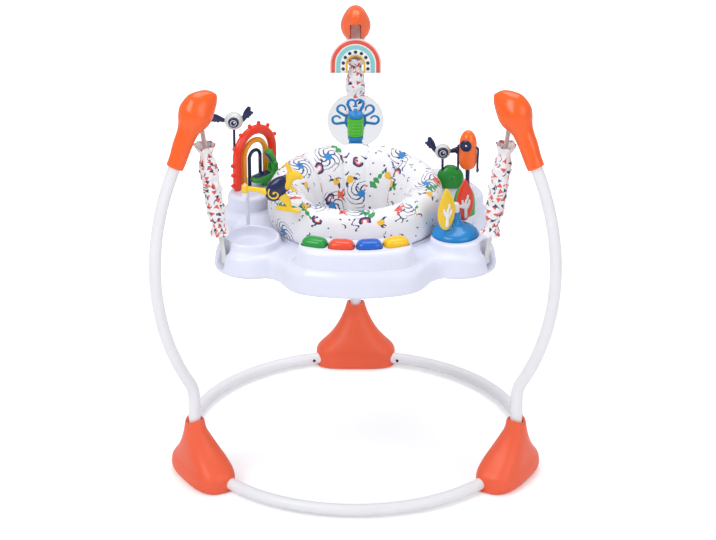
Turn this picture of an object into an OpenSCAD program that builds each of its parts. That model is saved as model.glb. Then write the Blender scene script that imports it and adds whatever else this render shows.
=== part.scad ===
// Baby jumper: a floor ring on three feet, three bowed uprights with caps, and a toy tray
// with a turning seat that hangs from the caps on three straps with springs.

/* [Frame] */
// Radius of the floor ring at the middle of its tube
ring_r = 365; // [355:1:372]
// Outside diameter of the frame tubes
tube_d = 25.4; // [24:0.1:26]
// Wall of the frame tubes
tube_wall = 1.2; // [0.8:0.1:2]
// Height of the ring tube's middle above the floor
ring_z = 19; // [17:0.5:22]
// Radius at which the uprights stand in the feet
post_r = 393; // [388:1:398]
// Height where an upright meets the stub of its foot
joint_z = 180; // [170:1:186]
// Length of an upright's drawn-down end inside the stub
plug_len = 55; // [30:1:70]
// Radius of the tight bend above the joint
bend_r = 70; // [60:1:90]
// Radius of the long bow of an upright
bow_r = 523; // [510:1:540]
// Furthest reach of the bow from the middle of the ring
bow_reach = 474; // [468:1:480]
// Height of the bow's furthest reach
bow_z = 496; // [490:1:505]
// Height of an upright's top end inside its cap
upright_top_z = 786; // [770:1:796]

/* [Feet] */
// Height of a foot at its collar
foot_h = 144; // [135:1:150]
// Half of a foot's length along the ring
foot_half = 90; // [80:1:100]
// Reach of a foot outwards from the ring
foot_out = 62; // [58:1:90]
// Reach of a foot inwards from the ring
foot_in = 36; // [30:1:42]
// Wall of a foot and of its sockets
foot_wall = 3.5; // [2.5:0.1:5]
// Depth of the ring sockets in a foot
socket_depth = 42; // [30:1:50]
// Height of the rubber pads below the feet
pad_h = 1; // [0.6:0.1:2]
// Diameter of the rubber pads
pad_d = 22; // [16:1:26]

/* [Caps] */
// Height of a cap's lower rim
cap_rim_z = 724; // [715:1:730]
// Rise of a cap from its rim to its crown
cap_h = 151; // [145:1:157]
// Half width of the bulb along the ring
bulb_half = 33; // [28:1:38]
// Wall of the cap's sleeve round the tube
cap_wall = 5.3; // [4.5:0.1:7]

/* [Straps and springs] */
// Radius of the strap pins in the caps
pin_r = 364; // [360:1:368]
// Height of the strap pins in the caps
pin_z = 833; // [828:1:838]
// Diameter of the strap pins
pin_d = 6; // [4:0.5:8]
// Width of the strap webbing
strap_w = 22; // [18:1:24]
// Thickness of the strap webbing
strap_t = 1.8; // [1.2:0.1:2.5]
// Length of the upper strap below its pin
upper_len = 96; // [85:1:105]
// Length of a spring's coil
spring_len = 160; // [140:1:170]
// Diameter of the spring wire
wire_d = 2.6; // [2:0.1:3]
// Mean diameter of the coil
coil_d = 17; // [14:0.5:18]
// Turns of the coil
coil_turns = 11; // [8:1:14]
// Width of the gathered fabric sleeve
sleeve_w = 42; // [38:1:46]
// Lap of the sleeve over each strap
sleeve_lap = 22; // [15:1:30]

/* [Tray] */
// Height of the tray's lower rim
tray_z = 470; // [460:1:480]
// Height of the tray's deck
deck_z = 517; // [512:1:524]
// Wall of the tray moulding
tray_wall = 3; // [2.2:0.1:4]
// Reach of the tray between its lobes
disc_r = 268; // [262:1:274]
// Reach of the front lobe
front_r = 301; // [295:1:308]
// Radius of the strap lobes' middles
lobe_at = 249; // [244:1:254]
// Foot radius of a strap lobe
lobe_base = 79; // [74:1:84]
// Top radius of a strap lobe
lobe_top = 60; // [56:1:64]
// Height of a strap lobe's top
lobe_z = 538; // [530:1:545]
// Radius of the seat's opening in the deck
hole_r = 176; // [172:1:180]
// Radius of the dish in the left lobe
dish_r = 50; // [40:1:53]
// Depth of the dish
dish_depth = 22; // [14:1:28]
// Radius of the strap bars in the tray
bar_r = 313; // [310:1:316]
// Height of the strap bars in the tray
bar_z = 490; // [486:1:496]

/* [Seat] */
// Outer radius of the padded seat roll
roll_out = 187; // [183:1:188]
// Inner radius of the padded seat roll
roll_in = 110; // [100:1:120]
// Height of the roll's crest
roll_z = 634; // [620:1:645]
// Height of the seat roll's crest in front
roll_front_z = 604; // [590:1:634]
// Slope of the roll's inner face, as the crest's shift outwards
roll_slope = 30; // [10:1:36]
// Height of the lowest point of the seat pocket
pocket_z = 362; // [340:1:380]
// Thickness of the pocket's padded cloth
pocket_t = 4; // [3:0.5:6]
// Diameter of the leg holes
leg_hole_d = 96; // [80:1:105]

/* [Keyboard] */
// Height of the keyboard's top
board_z = 561; // [555:1:568]
// Width of a key
key_w = 52; // [46:1:54]
// Depth of a key from front to back
key_depth = 34; // [28:1:38]
// Height of a key above the keyboard's top
key_h = 14; // [10:1:18]
// Radius at which the keys lie
key_r = 238; // [234:1:242]
// Angle between neighbouring keys
key_step = 13.6; // [13.2:0.1:14]
// Travel of a key
key_travel = 4; // [2:0.5:5]

/* [Toys] */
// Height of the toy stations' tops
station_z = 556; // [548:1:562]
// Radius of the outer arch at the middle of its tube
arch_r = 54; // [50:1:56]
// Height of the outer arch above its station
arch_h = 132; // [120:1:140]
// Diameter of the outer arch's tube
arch_d = 17; // [14:0.5:18]
// Radius of the blue dome below the leaves
dome_r = 48; // [42:1:52]
// Height of a leaf paddle
leaf_h = 92; // [80:1:100]
// Width of a leaf paddle
leaf_w = 44; // [36:1:46]
// Diameter of a bug's ball
bug_d = 40; // [34:1:42]
// Radius of the clear disc behind the seat
disc_toy_r = 62; // [55:1:66]
// Diameter of the green roller
roller_d = 36; // [30:1:40]
// Height of the green roller
roller_h = 42; // [36:1:46]
// Width of the bean figure
bean_d = 38; // [32:1:42]
// Height of the bean figure
bean_h = 88; // [78:1:96]
// Outer radius of the rainbow tag on the rear strap
tag_r = 57; // [50:1:62]
// Thickness of the rainbow tag
tag_t = 7; // [5:1:10]

/* [Hidden] */
$fn = 64;

// Clearances: a pressed or plugged fit, a running pin, and two faces that never touch
plug_gap = 0.05;
pin_gap = 0.06;
clear = 0.4;
seat_on = 0.3;

// The axis of the ring, tray and seat, set so that the whole frame is centred front to back
axis_y = (ring_r - bow_reach) / 2;
az_back = 90;
az_left = 210;
az_right = 330;
az_front = 270;
leg_azimuths = [az_back, az_left, az_right];

// Upright: a plumb stub, a tight bend outwards and one long bow, all tangent
bow_mid = bow_reach - bow_r;
bend_mid = post_r + bend_r;
bend_turn = acos((bend_mid - bow_mid) / (bow_r + bend_r));
bend_z = bow_z - (bow_r + bend_r) * sin(bend_turn);
bow_top = asin((upright_top_z - bow_z) / bow_r);
plumb_end = 12;
stub_top = min(joint_z, bend_z - plumb_end);
cap_rim_a = asin((cap_rim_z - bow_z) / bow_r);
cap_rim_r = bow_mid + bow_r * cos(cap_rim_a);

// Straps lean inwards from the cap pins to the bars in the tray
strap_lean = atan2(pin_r - bar_r, pin_z - bar_z);
strap_len = norm([pin_r - bar_r, pin_z - bar_z]);
spring_top = upper_len + clear;
spring_low = spring_top + spring_len;
lower_top = spring_low + clear;
sleeve_top = upper_len - sleeve_lap;
sleeve_low = lower_top + sleeve_lap;

function spow(v, e) = sign(v) * pow(abs(v), e);

// A point on a smooth curve through the rows of p, at t from 0 to len(p) - 1
function spline(p, t) =
    let (
        i = min(floor(t), len(p) - 2),
        u = t - i,
        a = p[max(i - 1, 0)],
        b = p[i],
        c = p[i + 1],
        d = p[min(i + 2, len(p) - 1)]
    )
    0.5 * (2 * b + (c - a) * u + (2 * a - 5 * b + 4 * c - d) * u * u + (3 * b - a - 3 * c + d) * u * u * u);

// A closed skin over rings of points that run anticlockwise seen from the last ring;
// its ends fan out from their middle
function middle(ring) = [for (c = [0:2]) [for (p = ring) p[c]] * [for (p = ring) 1] / len(ring)];
module skin(rings, closed = false) {
    n = len(rings[0]);
    m = len(rings);
    points = concat([for (ring = rings) each ring], closed ? [] : [middle(rings[0]), middle(rings[m - 1])]);
    sides = [
        for (i = [0:closed ? m - 1 : m - 2], j = [0:n - 1])
            let (k = (j + 1) % n, up = (i + 1) % m)
            each [[i * n + j, up * n + j, up * n + k], [i * n + j, up * n + k, i * n + k]]
    ];
    low = [for (j = [0:n - 1]) [m * n, j, (j + 1) % n]];
    top = [for (j = [0:n - 1]) [m * n + 1, (m - 1) * n + (j + 1) % n, (m - 1) * n + j]];
    polyhedron(points, closed ? sides : concat(sides, low, top));
}

// Places with +X pointing outwards at an azimuth, and +Z up
module at_az(az) {
    translate([0, axis_y, 0]) rotate([0, 0, az]) children();
}

// A place on a strap, with the strap running along -Z from its pin
module on_strap(az) {
    at_az(az) translate([pin_r, 0, pin_z]) rotate([0, strap_lean, 0]) children();
}

module arc_tube(mid_r, mid_z, r, a0, a1, d) {
    translate([mid_r, 0, mid_z]) rotate([90, 0, 0]) rotate([0, 0, a0])
        rotate_extrude(angle = a1 - a0) translate([r, 0]) circle(d = d);
}

module ring_arc(a0, a1, d) {
    translate([0, 0, ring_z]) rotate([0, 0, a0])
        rotate_extrude(angle = a1 - a0) translate([ring_r, 0]) circle(d = d);
}

// The ring's tubes reach into the feet by the depth of the sockets
foot_a = asin(foot_half / ring_r);
ring_end_a = asin((foot_half - socket_depth) / ring_r);

module ring_tube(a0, a1) {
    color("whitesmoke") at_az(0) difference() {
        ring_arc(a0 + ring_end_a, a1 - ring_end_a, tube_d);
        ring_arc(a0 + ring_end_a - 1, a1 - ring_end_a + 1, tube_d - 2 * tube_wall);
    }
}

module ring_front() {
    ring_tube(az_left, az_right);
}

module ring_left() {
    ring_tube(az_back, az_left);
}

module ring_right() {
    ring_tube(az_right, az_back + 360);
}

// A foot: height, half length, reach inwards and outwards from the ring, and how square it is
collar_in = post_r - ring_r - tube_d / 2 - foot_wall - 4;
collar_out = post_r - ring_r + tube_d / 2 + foot_wall + 4;
collar_half = tube_d / 2 + foot_wall + 4;
base_in = min(-foot_in, collar_in - 16);
base_out = max(foot_out, collar_out + 10);
foot_levels = [
    [pad_h, foot_half - 2, base_in + 2, base_out - 18, 3.2],
    [14, foot_half, base_in, base_out - 5, 3],
    [36, foot_half + 1, base_in, base_out, 2.8],
    [54, foot_half - 7, base_in + 3, base_out - 8, 2.6],
    [74, foot_half - 28, base_in + 11, collar_out + 6, 2.4],
    [98, foot_half - 47, collar_in - 17, collar_out + 4, 2.2],
    [122, collar_half + 8, collar_in - 4, collar_out + 2, 2],
    [foot_h, collar_half, collar_in, collar_out, 2]
];
foot_sides = 28;
foot_core_sides = 16;

function foot_ring(v, inset, sides) = [
    for (j = [0:sides - 1])
        let (
            a = 360 * j / sides,
            half_r = (v[3] - v[2]) / 2 - inset,
            mid_r = ring_r + (v[2] + v[3]) / 2,
            square = cos(a) > 0 ? min(v[4], 2.4) : v[4]
        )
        [mid_r + half_r * spow(cos(a), 2 / square), (v[1] - inset) * spow(sin(a), 2 / square), v[0]]
];

module foot_body() {
    steps = [for (s = [0:0.6:len(foot_levels) - 1]) s];
    skin([for (s = concat(steps, [len(foot_levels) - 1])) foot_ring(spline(foot_levels, s), 0, foot_sides)]);
}

// The hollow below a foot, open at the floor
module foot_core() {
    low = foot_levels[0];
    first = [-1, low[1], low[2], low[3], low[4]];
    rows = concat([first], [for (i = [1:5]) foot_levels[i]]);
    skin([for (v = rows) foot_ring(v, foot_wall, foot_core_sides)]);
}

module foot_sockets(extra) {
    for (side = [-1, 1])
        mirror([0, side < 0 ? 1 : 0, 0])
            ring_arc(ring_end_a, foot_a + 3, tube_d + 2 * plug_gap + 2 * extra);
}

stub_z = 30;

module foot(az) {
    color("orangered") at_az(az) difference() {
        foot_body();
        difference() {
            foot_core();
            intersection() {
                foot_sockets(foot_wall);
                translate([ring_r - 60, -foot_half - 20, pad_h]) cube([120, 2 * foot_half + 40, 80]);
            }
            translate([post_r, 0, stub_z - foot_wall])
                cylinder(d = tube_d + 2 * plug_gap + 2 * foot_wall, h = foot_h);
            for (p = pad_places) translate([p[0], p[1], pad_h]) cylinder(d = pad_d, h = stub_z);
        }
        foot_sockets(0);
        translate([post_r, 0, stub_z - plug_gap]) cylinder(d = tube_d + 2 * plug_gap, h = foot_h);
    }
}

module foot_back() {
    foot(az_back);
}

module foot_left() {
    foot(az_left);
}

module foot_right() {
    foot(az_right);
}

// Three pads below each foot: one near each end and one at the toe
pad_places = [
    [ring_r, foot_half - pad_d],
    [ring_r, pad_d - foot_half],
    [ring_r + base_out - 18 - pad_d, 0]
];

module foot_pads() {
    color("dimgray") for (az = leg_azimuths) at_az(az) for (p = pad_places)
        translate([p[0], p[1], 0]) cylinder(d = pad_d, h = pad_h);
}

// The stub fixed in each foot, which takes the upright's plug
module foot_stubs() {
    color("whitesmoke") for (az = leg_azimuths) at_az(az) translate([post_r, 0, stub_z]) difference() {
        cylinder(d = tube_d, h = stub_top - stub_z);
        translate([0, 0, -1]) cylinder(d = tube_d - 2 * tube_wall, h = stub_top);
        translate([0, 0, button_z - stub_z]) rotate([0, -90, 0])
            cylinder(d = button_d + 2 * plug_gap, h = tube_d);
    }
}

plug_d = tube_d - 2 * tube_wall - 2 * plug_gap;

module tube_section() {
    difference() {
        circle(d = tube_d);
        circle(d = tube_d - 2 * tube_wall);
    }
}

module bent_tube(mid_r, mid_z, r, a0, a1) {
    translate([mid_r, 0, mid_z]) rotate([90, 0, 0]) rotate([0, 0, a0])
        rotate_extrude(angle = a1 - a0) translate([r, 0]) tube_section();
}

// The hairline weld between the plumb end and the bend, as an angle of the bend
seam_a = 0.02;

// An upright: its drawn-down plug and plumb end, the tight bend, and the long bow
module upright(az) {
    tube_in = tube_d / 2 - tube_wall;
    plug_in = plug_d / 2 - tube_wall;
    color("whitesmoke") at_az(az) {
        translate([post_r, 0, 0]) rotate_extrude() polygon([
            [plug_in, stub_top - plug_len],
            [plug_d / 2, stub_top - plug_len],
            [plug_d / 2, stub_top],
            [tube_d / 2, stub_top],
            [tube_d / 2, bend_z],
            [tube_in, bend_z],
            [tube_in, stub_top + 8],
            [plug_in, stub_top]
        ]);
        bent_tube(bend_mid, bend_z, bend_r, 180 - bend_turn, 180 - seam_a);
        bent_tube(bow_mid, bow_z, bow_r, -bend_turn, bow_top);
    }
}

module upright_back() {
    upright(az_back);
}

module upright_left() {
    upright(az_left);
}

module upright_right() {
    upright(az_right);
}

// Snap buttons: one from each plug through its stub, and one at each end of the ring's tubes
button_d = 7;
button_proud = 1.6;
button_z = stub_top - 9;
ring_button_a = foot_a + 1.6;

module snap_button(depth) {
    cylinder(d = button_d, h = depth);
    translate([0, 0, depth]) intersection() {
        cylinder(d = button_d, h = button_proud);
        translate([0, 0, button_proud - button_d * 0.6]) sphere(d = button_d * 1.2);
    }
}

module snap_buttons() {
    color("black") for (az = leg_azimuths) at_az(az) {
        translate([post_r, 0, button_z]) rotate([0, -90, 0])
            translate([0, 0, plug_d / 2 + plug_gap]) snap_button((tube_d - plug_d) / 2 - plug_gap);
        for (side = [-1, 1]) rotate([0, 0, side * ring_button_a]) translate([ring_r, 0, ring_z])
            rotate([0, -90, 0]) translate([0, 0, tube_d / 2]) snap_button(clear);
    }
}

// A cap: middle of each section from the rim, half depth, half width, and tilt of the section
cap_path = [
    [0, 0, tube_d / 2 + cap_wall, tube_d / 2 + cap_wall, cap_rim_a],
    [-17, cap_h * 0.27, tube_d / 2 + cap_wall + 3.5, tube_d / 2 + cap_wall + 2, 26],
    [-33, cap_h * 0.48, 25, bulb_half - 8, 27],
    [-42.5, cap_h * 0.60, 30, bulb_half - 2, 28],
    [-51, cap_h * 0.715, 35, bulb_half, 29],
    [-64, cap_h * 0.85, 33, bulb_half - 5, 30],
    [-75, cap_h * 0.91, 26, bulb_half - 12, 32],
    [-85.5, cap_h * 0.947, 15, bulb_half - 19, 35],
    [-93, cap_h * 0.947, 4, 5, 38]
];
cap_sides = 22;

function cap_ring(v) = [
    for (j = [0:cap_sides - 1])
        let (a = 360 * j / cap_sides)
        [
            cap_rim_r + v[0] + v[2] * cos(a) * cos(v[4]),
            v[3] * sin(a),
            cap_rim_z + v[1] + v[2] * cos(a) * sin(v[4])
        ]
];

slot_w = strap_w + 2;

module cap(az) {
    color("orange") difference() {
        at_az(az) difference() {
            skin([for (s = [0:0.625:len(cap_path) - 1]) cap_ring(spline(cap_path, s))]);
            arc_tube(bow_mid, bow_z, bow_r, cap_rim_a - 8, bow_top + 0.1, tube_d + 2 * plug_gap);
        }
        on_strap(az) {
            translate([-80, -slot_w / 2, -90]) cube([80 + pin_d, slot_w, 90 + pin_d]);
            rotate([90, 0, 0]) cylinder(d = pin_d + 2 * plug_gap, h = pin_len + 2 * plug_gap, center = true);
        }
    }
}

module cap_back() {
    cap(az_back);
}

module cap_left() {
    cap(az_left);
}

module cap_right() {
    cap(az_right);
}

pin_len = slot_w + 16;

module cap_pins() {
    color("silver") for (az = leg_azimuths) on_strap(az) rotate([90, 0, 0])
        cylinder(d = pin_d, h = pin_len, center = true);
}

// A strap end sewn as a loop round a pin or bar
module strap_loop(d) {
    rotate([90, 0, 0]) difference() {
        cylinder(d = d + 2 * plug_gap + 2 * strap_t, h = strap_w, center = true);
        cylinder(d = d + 2 * plug_gap, h = strap_w + 2, center = true);
    }
}

module strap_band(from, to) {
    translate([-strap_t / 2, -strap_w / 2, -to]) cube([strap_t, strap_w, to - from]);
}

module upper_straps() {
    color("white") for (az = leg_azimuths) on_strap(az) {
        strap_loop(pin_d);
        strap_band(pin_d / 2 + plug_gap + strap_t / 2, upper_len);
        translate([0, 0, -upper_len - coil_plug_h]) cylinder(d = coil_plug_d, h = coil_plug_h + 3);
    }
}

module lower_straps() {
    color("white") for (az = leg_azimuths) on_strap(az) {
        strap_band(lower_top, strap_len - pin_d / 2 - plug_gap - strap_t / 2);
        translate([0, 0, -lower_top - 3]) cylinder(d = coil_plug_d, h = coil_plug_h + 3);
        translate([0, 0, -strap_len]) strap_loop(pin_d);
    }
}

// Extension spring: one wire wound round the strap's line and screwed on a plug at each end
coil_steps = 8;
wire_sides = 6;
coil_rise = (spring_len - 3 * wire_d) / coil_turns;
coil_plug_d = coil_d * cos(180 / coil_steps) - wire_d - 2 * seat_on;
coil_plug_h = 14;
coil_points = [
    for (i = [0:coil_turns * coil_steps])
        let (a = 360 * i / coil_steps)
        [coil_d / 2 * cos(a), coil_d / 2 * sin(a), -spring_top - 1.5 * wire_d - coil_rise * i / coil_steps]
];
coil_gap = min([for (i = [0:len(coil_points) - 1 - coil_steps])
    norm(coil_points[i + coil_steps] - coil_points[i])]) - wire_d;
echo(least_coil_gap_mm = coil_gap);

function wire_ring(p, a) = [
    for (j = [0:wire_sides - 1])
        let (b = -360 * j / wire_sides)
        p + wire_d / 2 * [cos(b) * cos(a), cos(b) * sin(a), sin(b)]
];

module spring() {
    last = len(coil_points) - 1;
    along = [0, wire_d, 0];
    skin(concat(
        [wire_ring(coil_points[0] - along, 0)],
        [for (i = [0:last]) wire_ring(coil_points[i], 360 * i / coil_steps)],
        [wire_ring(coil_points[last] + along, 360 * coil_turns)]
    ));
}

module springs() {
    color("silver") for (az = leg_azimuths) on_strap(az) spring();
}

// Gathered sleeve: width along its length, as a share of the full width, drawn in to the strap at both necks
sleeve_rings = 20;
sleeve_sides = 14;
sleeve_t = 1.2;
neck = (1.03 * (strap_w / 2 + seat_on) + sleeve_t) / (0.96 * sleeve_w / 2);
sleeve_form = [[1.06], [neck], [0.9], [1.0], [0.95], [1.0], [0.95], [1.0], [0.9], [neck], [1.0]];

function sleeve_ring(t, inset) =
    let (form = spline(sleeve_form, t * (len(sleeve_form) - 1))[0])
    [
        for (j = [0:sleeve_sides - 1])
            let (
                a = 360 * j / sleeve_sides,
                fold = 1 + 0.07 * sin(7 * a / 2 + 540 * t) * form,
                half = sleeve_w / 2 * form * fold - inset
            )
            [0.9 * half * cos(a), half * sin(a), -sleeve_low + (sleeve_low - sleeve_top) * (1 - t)]
    ];

module sleeve(az) {
    steps = [for (i = [sleeve_rings:-1:0]) i / sleeve_rings];
    color("lavender") on_strap(az) skin(concat(
        [for (t = steps) sleeve_ring(t, 0)],
        [for (i = [sleeve_rings:-1:0]) sleeve_ring(steps[i], sleeve_t)]
    ), closed = true);
}

module sleeve_back() {
    sleeve(az_back);
}

module sleeve_left() {
    sleeve(az_left);
}

module sleeve_right() {
    sleeve(az_right);
}

// Half-round rainbow tag in front of the rear sleeve, sewn to the strap by a ribbon
tag_in_r = 17;
tag_leg = 20;
tag_drop = 84;

tag_off = sleeve_w * 0.48;
ribbon_w = 16;
ribbon_t = 2.4;

module rainbow_tag() {
    color("salmon") on_strap(az_back) translate([-strap_t / 2 - tag_off, 0, -tag_drop]) {
        translate([-tag_t, 0, 0]) rotate([90, 0, 90]) linear_extrude(tag_t)
            difference() {
                union() {
                    intersection() {
                        circle(r = tag_r);
                        translate([-tag_r, 0]) square([2 * tag_r, tag_r]);
                    }
                    translate([-tag_r, -tag_leg]) square([2 * tag_r, tag_leg]);
                }
                circle(r = tag_in_r);
                translate([-tag_in_r, -tag_leg - 1]) square([2 * tag_in_r, tag_leg + 1]);
            }
        translate([-1, -ribbon_w / 2, (tag_in_r + tag_r) / 2])
            cube([tag_off + 1 - seat_on, ribbon_w, ribbon_t]);
    }
}

// Tray: one moulding with three strap lobes, two toy lobes and a wide front lobe, blended in plan
toy_half = 14;
toy_az = [150, 30];
toy_at = 240;
toy_base = 64;
front_half = 20;
front_end_at = 232;
blend = 28;
tray_sides = 96;

function turn_to(az, to) = (az - to) - 360 * round((az - to) / 360);
function round_reach(d, at, r) = abs(d) < 90 && abs(at * sin(d)) < r
    ? at * cos(d) + sqrt(r * r - pow(at * sin(d), 2)) : 0;
function wide_reach(d, half, at, r) = abs(d) <= half ? at + r : round_reach(abs(d) - half, at, r);
function tray_reach(az) =
    let (reaches = concat(
        [disc_r, wide_reach(turn_to(az, az_front), front_half, front_end_at, front_r - front_end_at)],
        [for (leg = leg_azimuths) round_reach(turn_to(az, leg), lobe_at, lobe_base)],
        [for (toy = toy_az) wide_reach(turn_to(az, toy), toy_half, toy_at, toy_base)]
    ))
    front_r * pow([for (r = reaches) pow(r / front_r, blend)] * [for (r = reaches) 1], 1 / blend);
tray_rim = [for (j = [0:tray_sides - 1]) tray_reach(360 * j / tray_sides)];

// Height and draw-in of the tray's side, from its rim to the edge of the deck
module tray_loft(levels) {
    skin([for (v = levels) [for (j = [0:tray_sides - 1])
        let (a = 360 * j / tray_sides) [(tray_rim[j] - v[1]) * cos(a), (tray_rim[j] - v[1]) * sin(a), v[0]]]]);
}

module strap_lobe(w) {
    low = deck_z - 20 - w;
    edge = 8;
    difference() {
        translate([lobe_at, 0, 0]) rotate_extrude() polygon([
            [0, low],
            [lobe_base - 9 - w, low],
            [lobe_top - w, lobe_z - edge - w / 2],
            [lobe_top - edge - w / 2, lobe_z - w],
            [0, lobe_z - w]
        ]);
        translate([0, 0, low - 1]) cylinder(r = roll_out + 2 + w, h = 100, $fn = 128);
    }
}

module tray_mass() {
    tray_loft([[tray_z, 0], [deck_z - 27, 1.5], [deck_z - 13, 4], [deck_z - 5, 8], [deck_z, 14]]);
    for (az = leg_azimuths) rotate([0, 0, az]) strap_lobe(0);
}

module tray_hollow() {
    w = tray_wall;
    tray_loft([[tray_z - 1, w], [deck_z - 27, 1.5 + w], [deck_z - w, 10 + w]]);
    for (az = leg_azimuths) rotate([0, 0, az]) strap_lobe(w);
}

// The strap notch in a lobe's outer face, and the walls that line it
notch_w = strap_w + 6;
notch_in = bar_r - 9;
notch_z = bar_z - 9;

module notch(w) {
    translate([notch_in - w, -notch_w / 2 - w, notch_z - w]) cube([60, notch_w + 2 * w, 90]);
}

// The dish in the left lobe, with a rounded floor
module dish(w) {
    floor_r = 14;
    translate([lobe_at, 0, lobe_z - dish_depth - w]) rotate_extrude() {
        translate([0, floor_r]) square([dish_r + w, dish_depth + w]);
        square([dish_r + w - floor_r, floor_r]);
        intersection() {
            translate([dish_r + w - floor_r, floor_r]) circle(r = floor_r);
            square([dish_r + w, floor_r]);
        }
    }
}

module tray_shell() {
    color("ghostwhite") translate([0, axis_y, 0]) difference() {
        tray_mass();
        difference() {
            tray_hollow();
            for (az = leg_azimuths) rotate([0, 0, az]) notch(tray_wall);
            rotate([0, 0, az_left]) dish(tray_wall);
        }
        translate([0, 0, tray_z - 2]) cylinder(r = hole_r, h = 200, $fn = 128);
        for (az = leg_azimuths) rotate([0, 0, az]) {
            notch(0);
            translate([bar_r, 0, bar_z]) rotate([90, 0, 0])
                cylinder(d = pin_d + 2 * plug_gap, h = bar_len + 2 * plug_gap, center = true);
        }
        rotate([0, 0, az_left]) dish(0);
        for (p = screw_places) rotate([0, 0, p[1]]) translate([p[0], 0, deck_z - 20])
            cylinder(d = screw_d + 2 * plug_gap, h = 30);
    }
}

bar_len = notch_w + 2 * tray_wall - 1;

module strap_bars() {
    color("silver") for (az = leg_azimuths) at_az(az) translate([bar_r, 0, bar_z]) rotate([90, 0, 0])
        cylinder(d = pin_d, h = bar_len, center = true);
}

// Keyboard: a raised housing on the front lobe, with the electronics below its keys
board_in = roll_out + 3;
board_rim = front_r - 16;
board_end_at = 240;
board_end_a = 19;
board_wall = 2.5;
screw_d = 3.6;
screw_places = [for (side = [-1, 1], r = [board_in + 8, board_rim - 14]) [r, az_front + side * key_step]];

module board_mass(w) {
    low = deck_z - (w > 0 ? 1 : 0);
    edge = 7;
    rotate([0, 0, az_front - board_end_a]) rotate_extrude(angle = 2 * board_end_a)
        polygon([[board_in + w, low], [board_rim - w, low], [board_rim - 6 - w, board_z - edge - w],
            [board_rim - 6 - edge - w, board_z - w], [board_in + w, board_z - w]]);
    for (side = [-1, 1]) rotate([0, 0, az_front + side * board_end_a]) translate([board_end_at, 0, 0])
        rotate_extrude() polygon([[0, low], [48 - w, low], [43 - w, board_z - edge - w],
            [43 - edge - w, board_z - w], [0, board_z - w]]);
}

module rounded_plate(w, d, h, r) {
    linear_extrude(h) {
        square([w - 2 * r, d], center = true);
        square([w, d - 2 * r], center = true);
        for (x = [-1, 1], y = [-1, 1]) translate([x * (w / 2 - r), y * (d / 2 - r)]) circle(r = r);
    }
}

module at_key(i) {
    at_az(az_front + (i - 1.5) * key_step) translate([key_r, 0, 0]) rotate([0, 0, 90]) children();
}

module keyboard_housing() {
    color("ghostwhite") difference() {
        translate([0, axis_y, 0]) difference() {
            board_mass(0);
            difference() {
                board_mass(board_wall);
                for (p = screw_places) rotate([0, 0, p[1]]) translate([p[0], 0, 0]) cylinder(d = 9, h = 700);
                cylinder(r = board_in + board_wall, h = 700, $fn = 128);
            }
            cylinder(r = board_in, h = 700, $fn = 128);
            for (p = screw_places) rotate([0, 0, p[1]]) translate([p[0], 0, deck_z - 1])
                cylinder(d = screw_d - 2 * tray_wall / 10, h = 20);
        }
        for (i = [0:3]) at_key(i) translate([0, 0, board_z - 10])
            rounded_plate(key_w + 2 * clear, key_depth + 2 * clear, 20, 10);
    }
}

pcb_z = deck_z + 12;
pcb_t = 1.6;
switch_h = 4;

// A domed key with a square-shouldered outline, a flange that keeps it in and a stem over its switch
key_sides = 24;
flange_z = board_z - board_wall - clear;
flange_t = 2;
stem_z = pcb_z + pcb_t + switch_h + key_travel + clear;

module key(i) {
    dome = [[0, 0.9], [0.25, 0.94], [0.5, 0.92], [0.72, 0.83], [0.88, 0.66], [0.97, 0.42], [1, 0.14]];
    at_key(i) {
        skin([for (v = dome) [for (j = [0:key_sides - 1])
            let (a = 360 * j / key_sides)
            [
                key_w / 2 * v[1] / 0.94 * spow(cos(a), 0.6),
                key_depth / 2 * v[1] / 0.94 * spow(sin(a), 0.6),
                board_z - 2 + (key_h + 2) * v[0]
            ]]]);
        translate([0, 0, flange_z - flange_t]) rounded_plate(key_w - 8, key_depth - 8, key_h, 8);
        translate([0, 0, flange_z - flange_t]) rounded_plate(key_w - 3, key_depth + 4, flange_t, 9);
        translate([0, 0, stem_z]) cylinder(d = 12, h = flange_z - stem_z);
    }
}

module key_green() {
    color("green") key(0);
}

module key_red() {
    color("tomato") key(1);
}

module key_blue() {
    color("royalblue") key(2);
}

module key_yellow() {
    color("gold") key(3);
}

// Circuit board on posts above the deck, with a rubber switch dome below each key
speaker_d = 50;
speaker_h = 16;

module electronics() {
    color("seagreen") {
        at_az(az_front - 24) translate([0, 0, pcb_z]) rotate_extrude(angle = 48)
            translate([key_r - 16, 0]) square([30, pcb_t]);
        for (i = [0:3]) at_key(i) translate([0, 0, pcb_z + pcb_t / 2])
            cylinder(d = 14, h = switch_h + pcb_t / 2);
        for (side = [-1, 1]) at_az(az_front + side * key_step) translate([key_r, 0, deck_z])
            cylinder(d = 7, h = pcb_z - deck_z + pcb_t / 2);
    }
    color("dimgray") at_az(az_front) translate([key_r, 0, deck_z - tray_wall - speaker_h]) {
        translate([0, 0, 12]) cylinder(d = speaker_d, h = speaker_h - 12);
        translate([0, 0, 4]) cylinder(d1 = speaker_d / 2, d2 = speaker_d - 8, h = 8);
        cylinder(d = speaker_d / 2, h = 5);
    }
}

// Battery box below the deck at one side of the front lobe, with a door held by a screw
box_w = 62;
box_d = 52;
box_h = 30;
box_az = az_front - 17;
box_at = 234;

module battery_box() {
    color("ghostwhite") at_az(box_az) translate([box_at, 0, deck_z - tray_wall - box_h]) difference() {
        rounded_plate(box_d, box_w, box_h, 5);
        translate([0, 0, -1]) rounded_plate(box_d - 4, box_w - 4, box_h - 1, 4);
    }
}

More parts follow.
